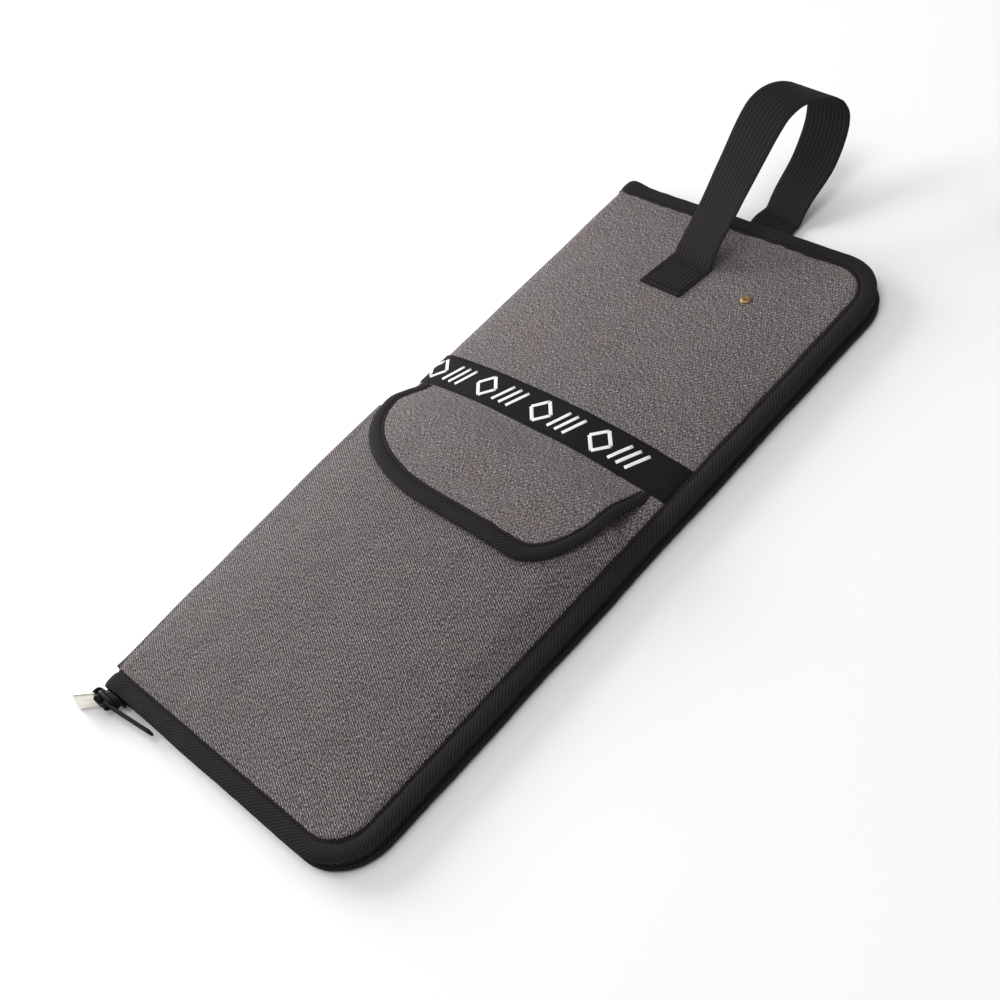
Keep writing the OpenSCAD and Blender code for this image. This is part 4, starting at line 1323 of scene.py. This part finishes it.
def make_inside():
    pocket_piece("stick_sleeves", SLEEVE_X0, SLEEVE_X1, SLEEVE_Y0, SLEEVE_Y1, sleeve_z, 1,
                 ("stick_pocket", "stick_pocket_tape"), "back_cover")
    pocket_piece("inside_pocket", INNER_X0, INNER_X1, INNER_Y0, INNER_Y1, inner_z, -1,
                 ("inner_pocket", "inner_pocket_tape"), "front_cover")
    for k in range(SLEEVES + 1):
        x = SLEEVE_X0 + k * SLEEVE_W + (0.8 if k == 0 else -0.8 if k == SLEEVES else 0)
        line = [(x, y, sleeve_z(x, y) + 0.05) for y in spread(SLEEVE_Y0 + 2, SLEEVE_Y1 - 8, 4.0)]
        seam(f"sleeve_stitches_{k + 1}", line, (3.2, 2.5, 0.2), "back_cover")


def make_strap(name, node, body, along_y, side):
    """Short webbing strap from the rivet to its hook, with its end turned round the hook's bar. It lies along
    Y or along X; side is 1 on the back cover and -1 on the front one."""
    lo, hi = (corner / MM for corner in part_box(node))
    width = (hi.x - lo.x) if along_y else (hi.y - lo.y)
    loop_r = (hi.z - lo.z) / 2
    flat_z = lo.z + 0.4 if side > 0 else hi.z - 0.4
    bar_z = (lo.z + hi.z) / 2
    near, far = ((hi.y, lo.y + loop_r) if along_y else (hi.x, lo.x + loop_r))
    centre = (lo.x + hi.x) / 2 if along_y else (lo.y + hi.y) / 2
    route = [(near - t, flat_z) for t in spread(0.2, near - far, 2.5)]
    r = loop_r - 0.4
    for a in spread(90, 400, 15)[1:]:
        route.append((far + r * math.cos(math.radians(a)), bar_z - side * r * math.sin(math.radians(a))))
    points = [Vector((0, s, z)) for s, z in route]
    strap = webbing_strip(name, points, [(0, 0)] * len(points), width, 0.75, 5)
    turn = Matrix.Identity(4) if along_y else Matrix.Rotation(math.radians(-90), 4, "Z")
    place = Matrix.Translation(Vector((centre, 0, 0) if along_y else (0, centre, 0)) * MM)
    strap.data.transform(place @ turn)
    dress(strap, WEBBING)
    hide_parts(node)
    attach(strap, body)


def make_hook(name, node, body, along_y):
    """Wire hook: a closed yoke through the strap's loop, and a bent hook on its far side."""
    lo, hi = (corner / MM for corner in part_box(node))
    z = (lo.z + hi.z) / 2
    wire = 0.9
    half = 8.9
    yoke = [Vector(p) for p in ((-half, 0), (half, 0), (half, 4.2), (-half, 4.2))]
    ring = []
    for k, at in enumerate(yoke):
        before = at + (yoke[k - 1] - at).normalized() * 1.3
        after = at + (yoke[(k + 1) % 4] - at).normalized() * 1.3
        for t in (0.0, 0.25, 0.5, 0.75, 1.0):
            ring.append(before.lerp(at, t).lerp(at.lerp(after, t), t))
    shank = [(0, 4.2 + s) for s in spread(0, 15, 2.5)]
    for a in spread(0, 180, 15)[1:]:
        shank.append((6 - 6 * math.cos(math.radians(a)), 19.2 + 6 * math.sin(math.radians(a))))

    def place(p):
        if along_y:
            cx, far = (lo.x + hi.x) / 2, hi.y - wire
            return (cx + p[0], far - p[1], z)
        cy, far = (lo.y + hi.y) / 2, hi.x - wire
        return (far - p[1], cy - p[0], z)

    parts = [tube("yoke", [place(p) for p in ring], wire, 12, closed=True),
             tube("wire", [place(p) for p in shank], wire, 12)]
    hook = join(name, parts)
    dress(hook, ENAMEL)
    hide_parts(node)
    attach(hook, body)


# ---------------------------------------------------------------- stage, camera and lights

def make_stage():
    reach = 3000
    corners = [(-reach, -reach, 0), (reach, -reach, 0), (reach, reach, 0), (-reach, reach, 0)]
    floor = mesh_object("floor", corners, [(0, 1, 2, 3)])
    n = Nodes("white_floor")
    turned = n.cloth_place(0, "object")[0]
    tone = n.noise(turned, 0.004, 2)
    colour = n.ramp(tone, ((0.3, (0.90, 0.90, 0.90)), (0.7, (0.92, 0.92, 0.92))))
    floor.data.materials.append(n.finish(colour, 0.7))


def make_camera():
    """Camera at the photograph's viewing angle: the ways right, up and back, and where it stands."""
    camera = bpy.data.cameras.new("camera")
    camera.lens = 53.64
    camera.sensor_width = 36
    camera.clip_start = 0.01
    obj = bpy.data.objects.new("camera", camera)
    right = Vector((0.68402, 0.66432, -0.30131))
    up = Vector((-0.37933, 0.67676, 0.63095))
    back = Vector((0.62307, -0.31729, 0.71492))
    obj.matrix_world = Matrix((
        (right.x, up.x, back.x, 0.5254),
        (right.y, up.y, back.y, -0.2782),
        (right.z, up.z, back.z, 0.6047),
        (0, 0, 0, 1),
    ))
    bpy.context.scene.collection.objects.link(obj)
    bpy.context.scene.camera = obj


def area_light(name, place, target, size, power, colour=(1, 1, 1)):
    light = bpy.data.lights.new(name, "AREA")
    light.shape = "DISK"
    light.size = size
    light.energy = power
    light.color = colour
    obj = bpy.data.objects.new(name, light)
    obj.location = place
    obj.rotation_euler = (Vector(target) - Vector(place)).to_track_quat("-Z", "Y").to_euler()
    bpy.context.scene.collection.objects.link(obj)


def make_lights():
    world = bpy.data.worlds.new("studio")
    world.use_nodes = True
    sky = world.node_tree.nodes["Background"]
    sky.inputs["Color"].default_value = (1, 1, 1, 1)
    sky.inputs["Strength"].default_value = 0.5
    bpy.context.scene.world = world
    area_light("key", (-1.6, -0.15, 0.5), (0, 0, 0), 1.3, 39, (1.0, 0.99, 0.985))
    area_light("top", (0.1, -0.2, 1.9), (0, 0, 0), 1.2, 12.5)
    bpy.context.scene.view_settings.view_transform = "Standard"


make_stage()
make_camera()
make_lights()
make_outer_fabric()
make_lining()
make_binding()
make_binding_stitches("binding_stitches_front", RIM_T, 1, "front_cover")
make_binding_stitches("binding_stitches_back", 0, -1, "back_cover")
make_coil("coil_back", MID_Z - 0.75, -1, "back_zip_coil", "back_cover")
make_coil("coil_front", MID_Z + 0.75, 1, "front_zip_coil", "front_cover")
make_pocket()
make_band()
make_print()
make_flap()
make_handle()
make_rivets()
make_slider()
make_zip_tail()
make_inside()
make_strap("back_hanging_strap", "strap_back", "back_strap", True, 1)
make_strap("front_hanging_strap", "strap_front", "front_strap", False, -1)
make_hook("back_hook_wire", "strap_back_hook", "back_hook", True)
make_hook("front_hook_wire", "strap_front_hook", "front_hook", False)

KEPT_NODES = {
    "back_foam": PADDING,
    "front_foam": PADDING,
    "back_zip_tape": ZIP_TAPE,
    "front_zip_tape": ZIP_TAPE,
    "zip_bottom_stop": ENAMEL,
    "pocket_hook_patch": FASTENER,
    "flap_loop_patch": FASTENER,
}
for node, material in KEPT_NODES.items():
    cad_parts[node].data.materials.clear()
    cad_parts[node].data.materials.append(material)
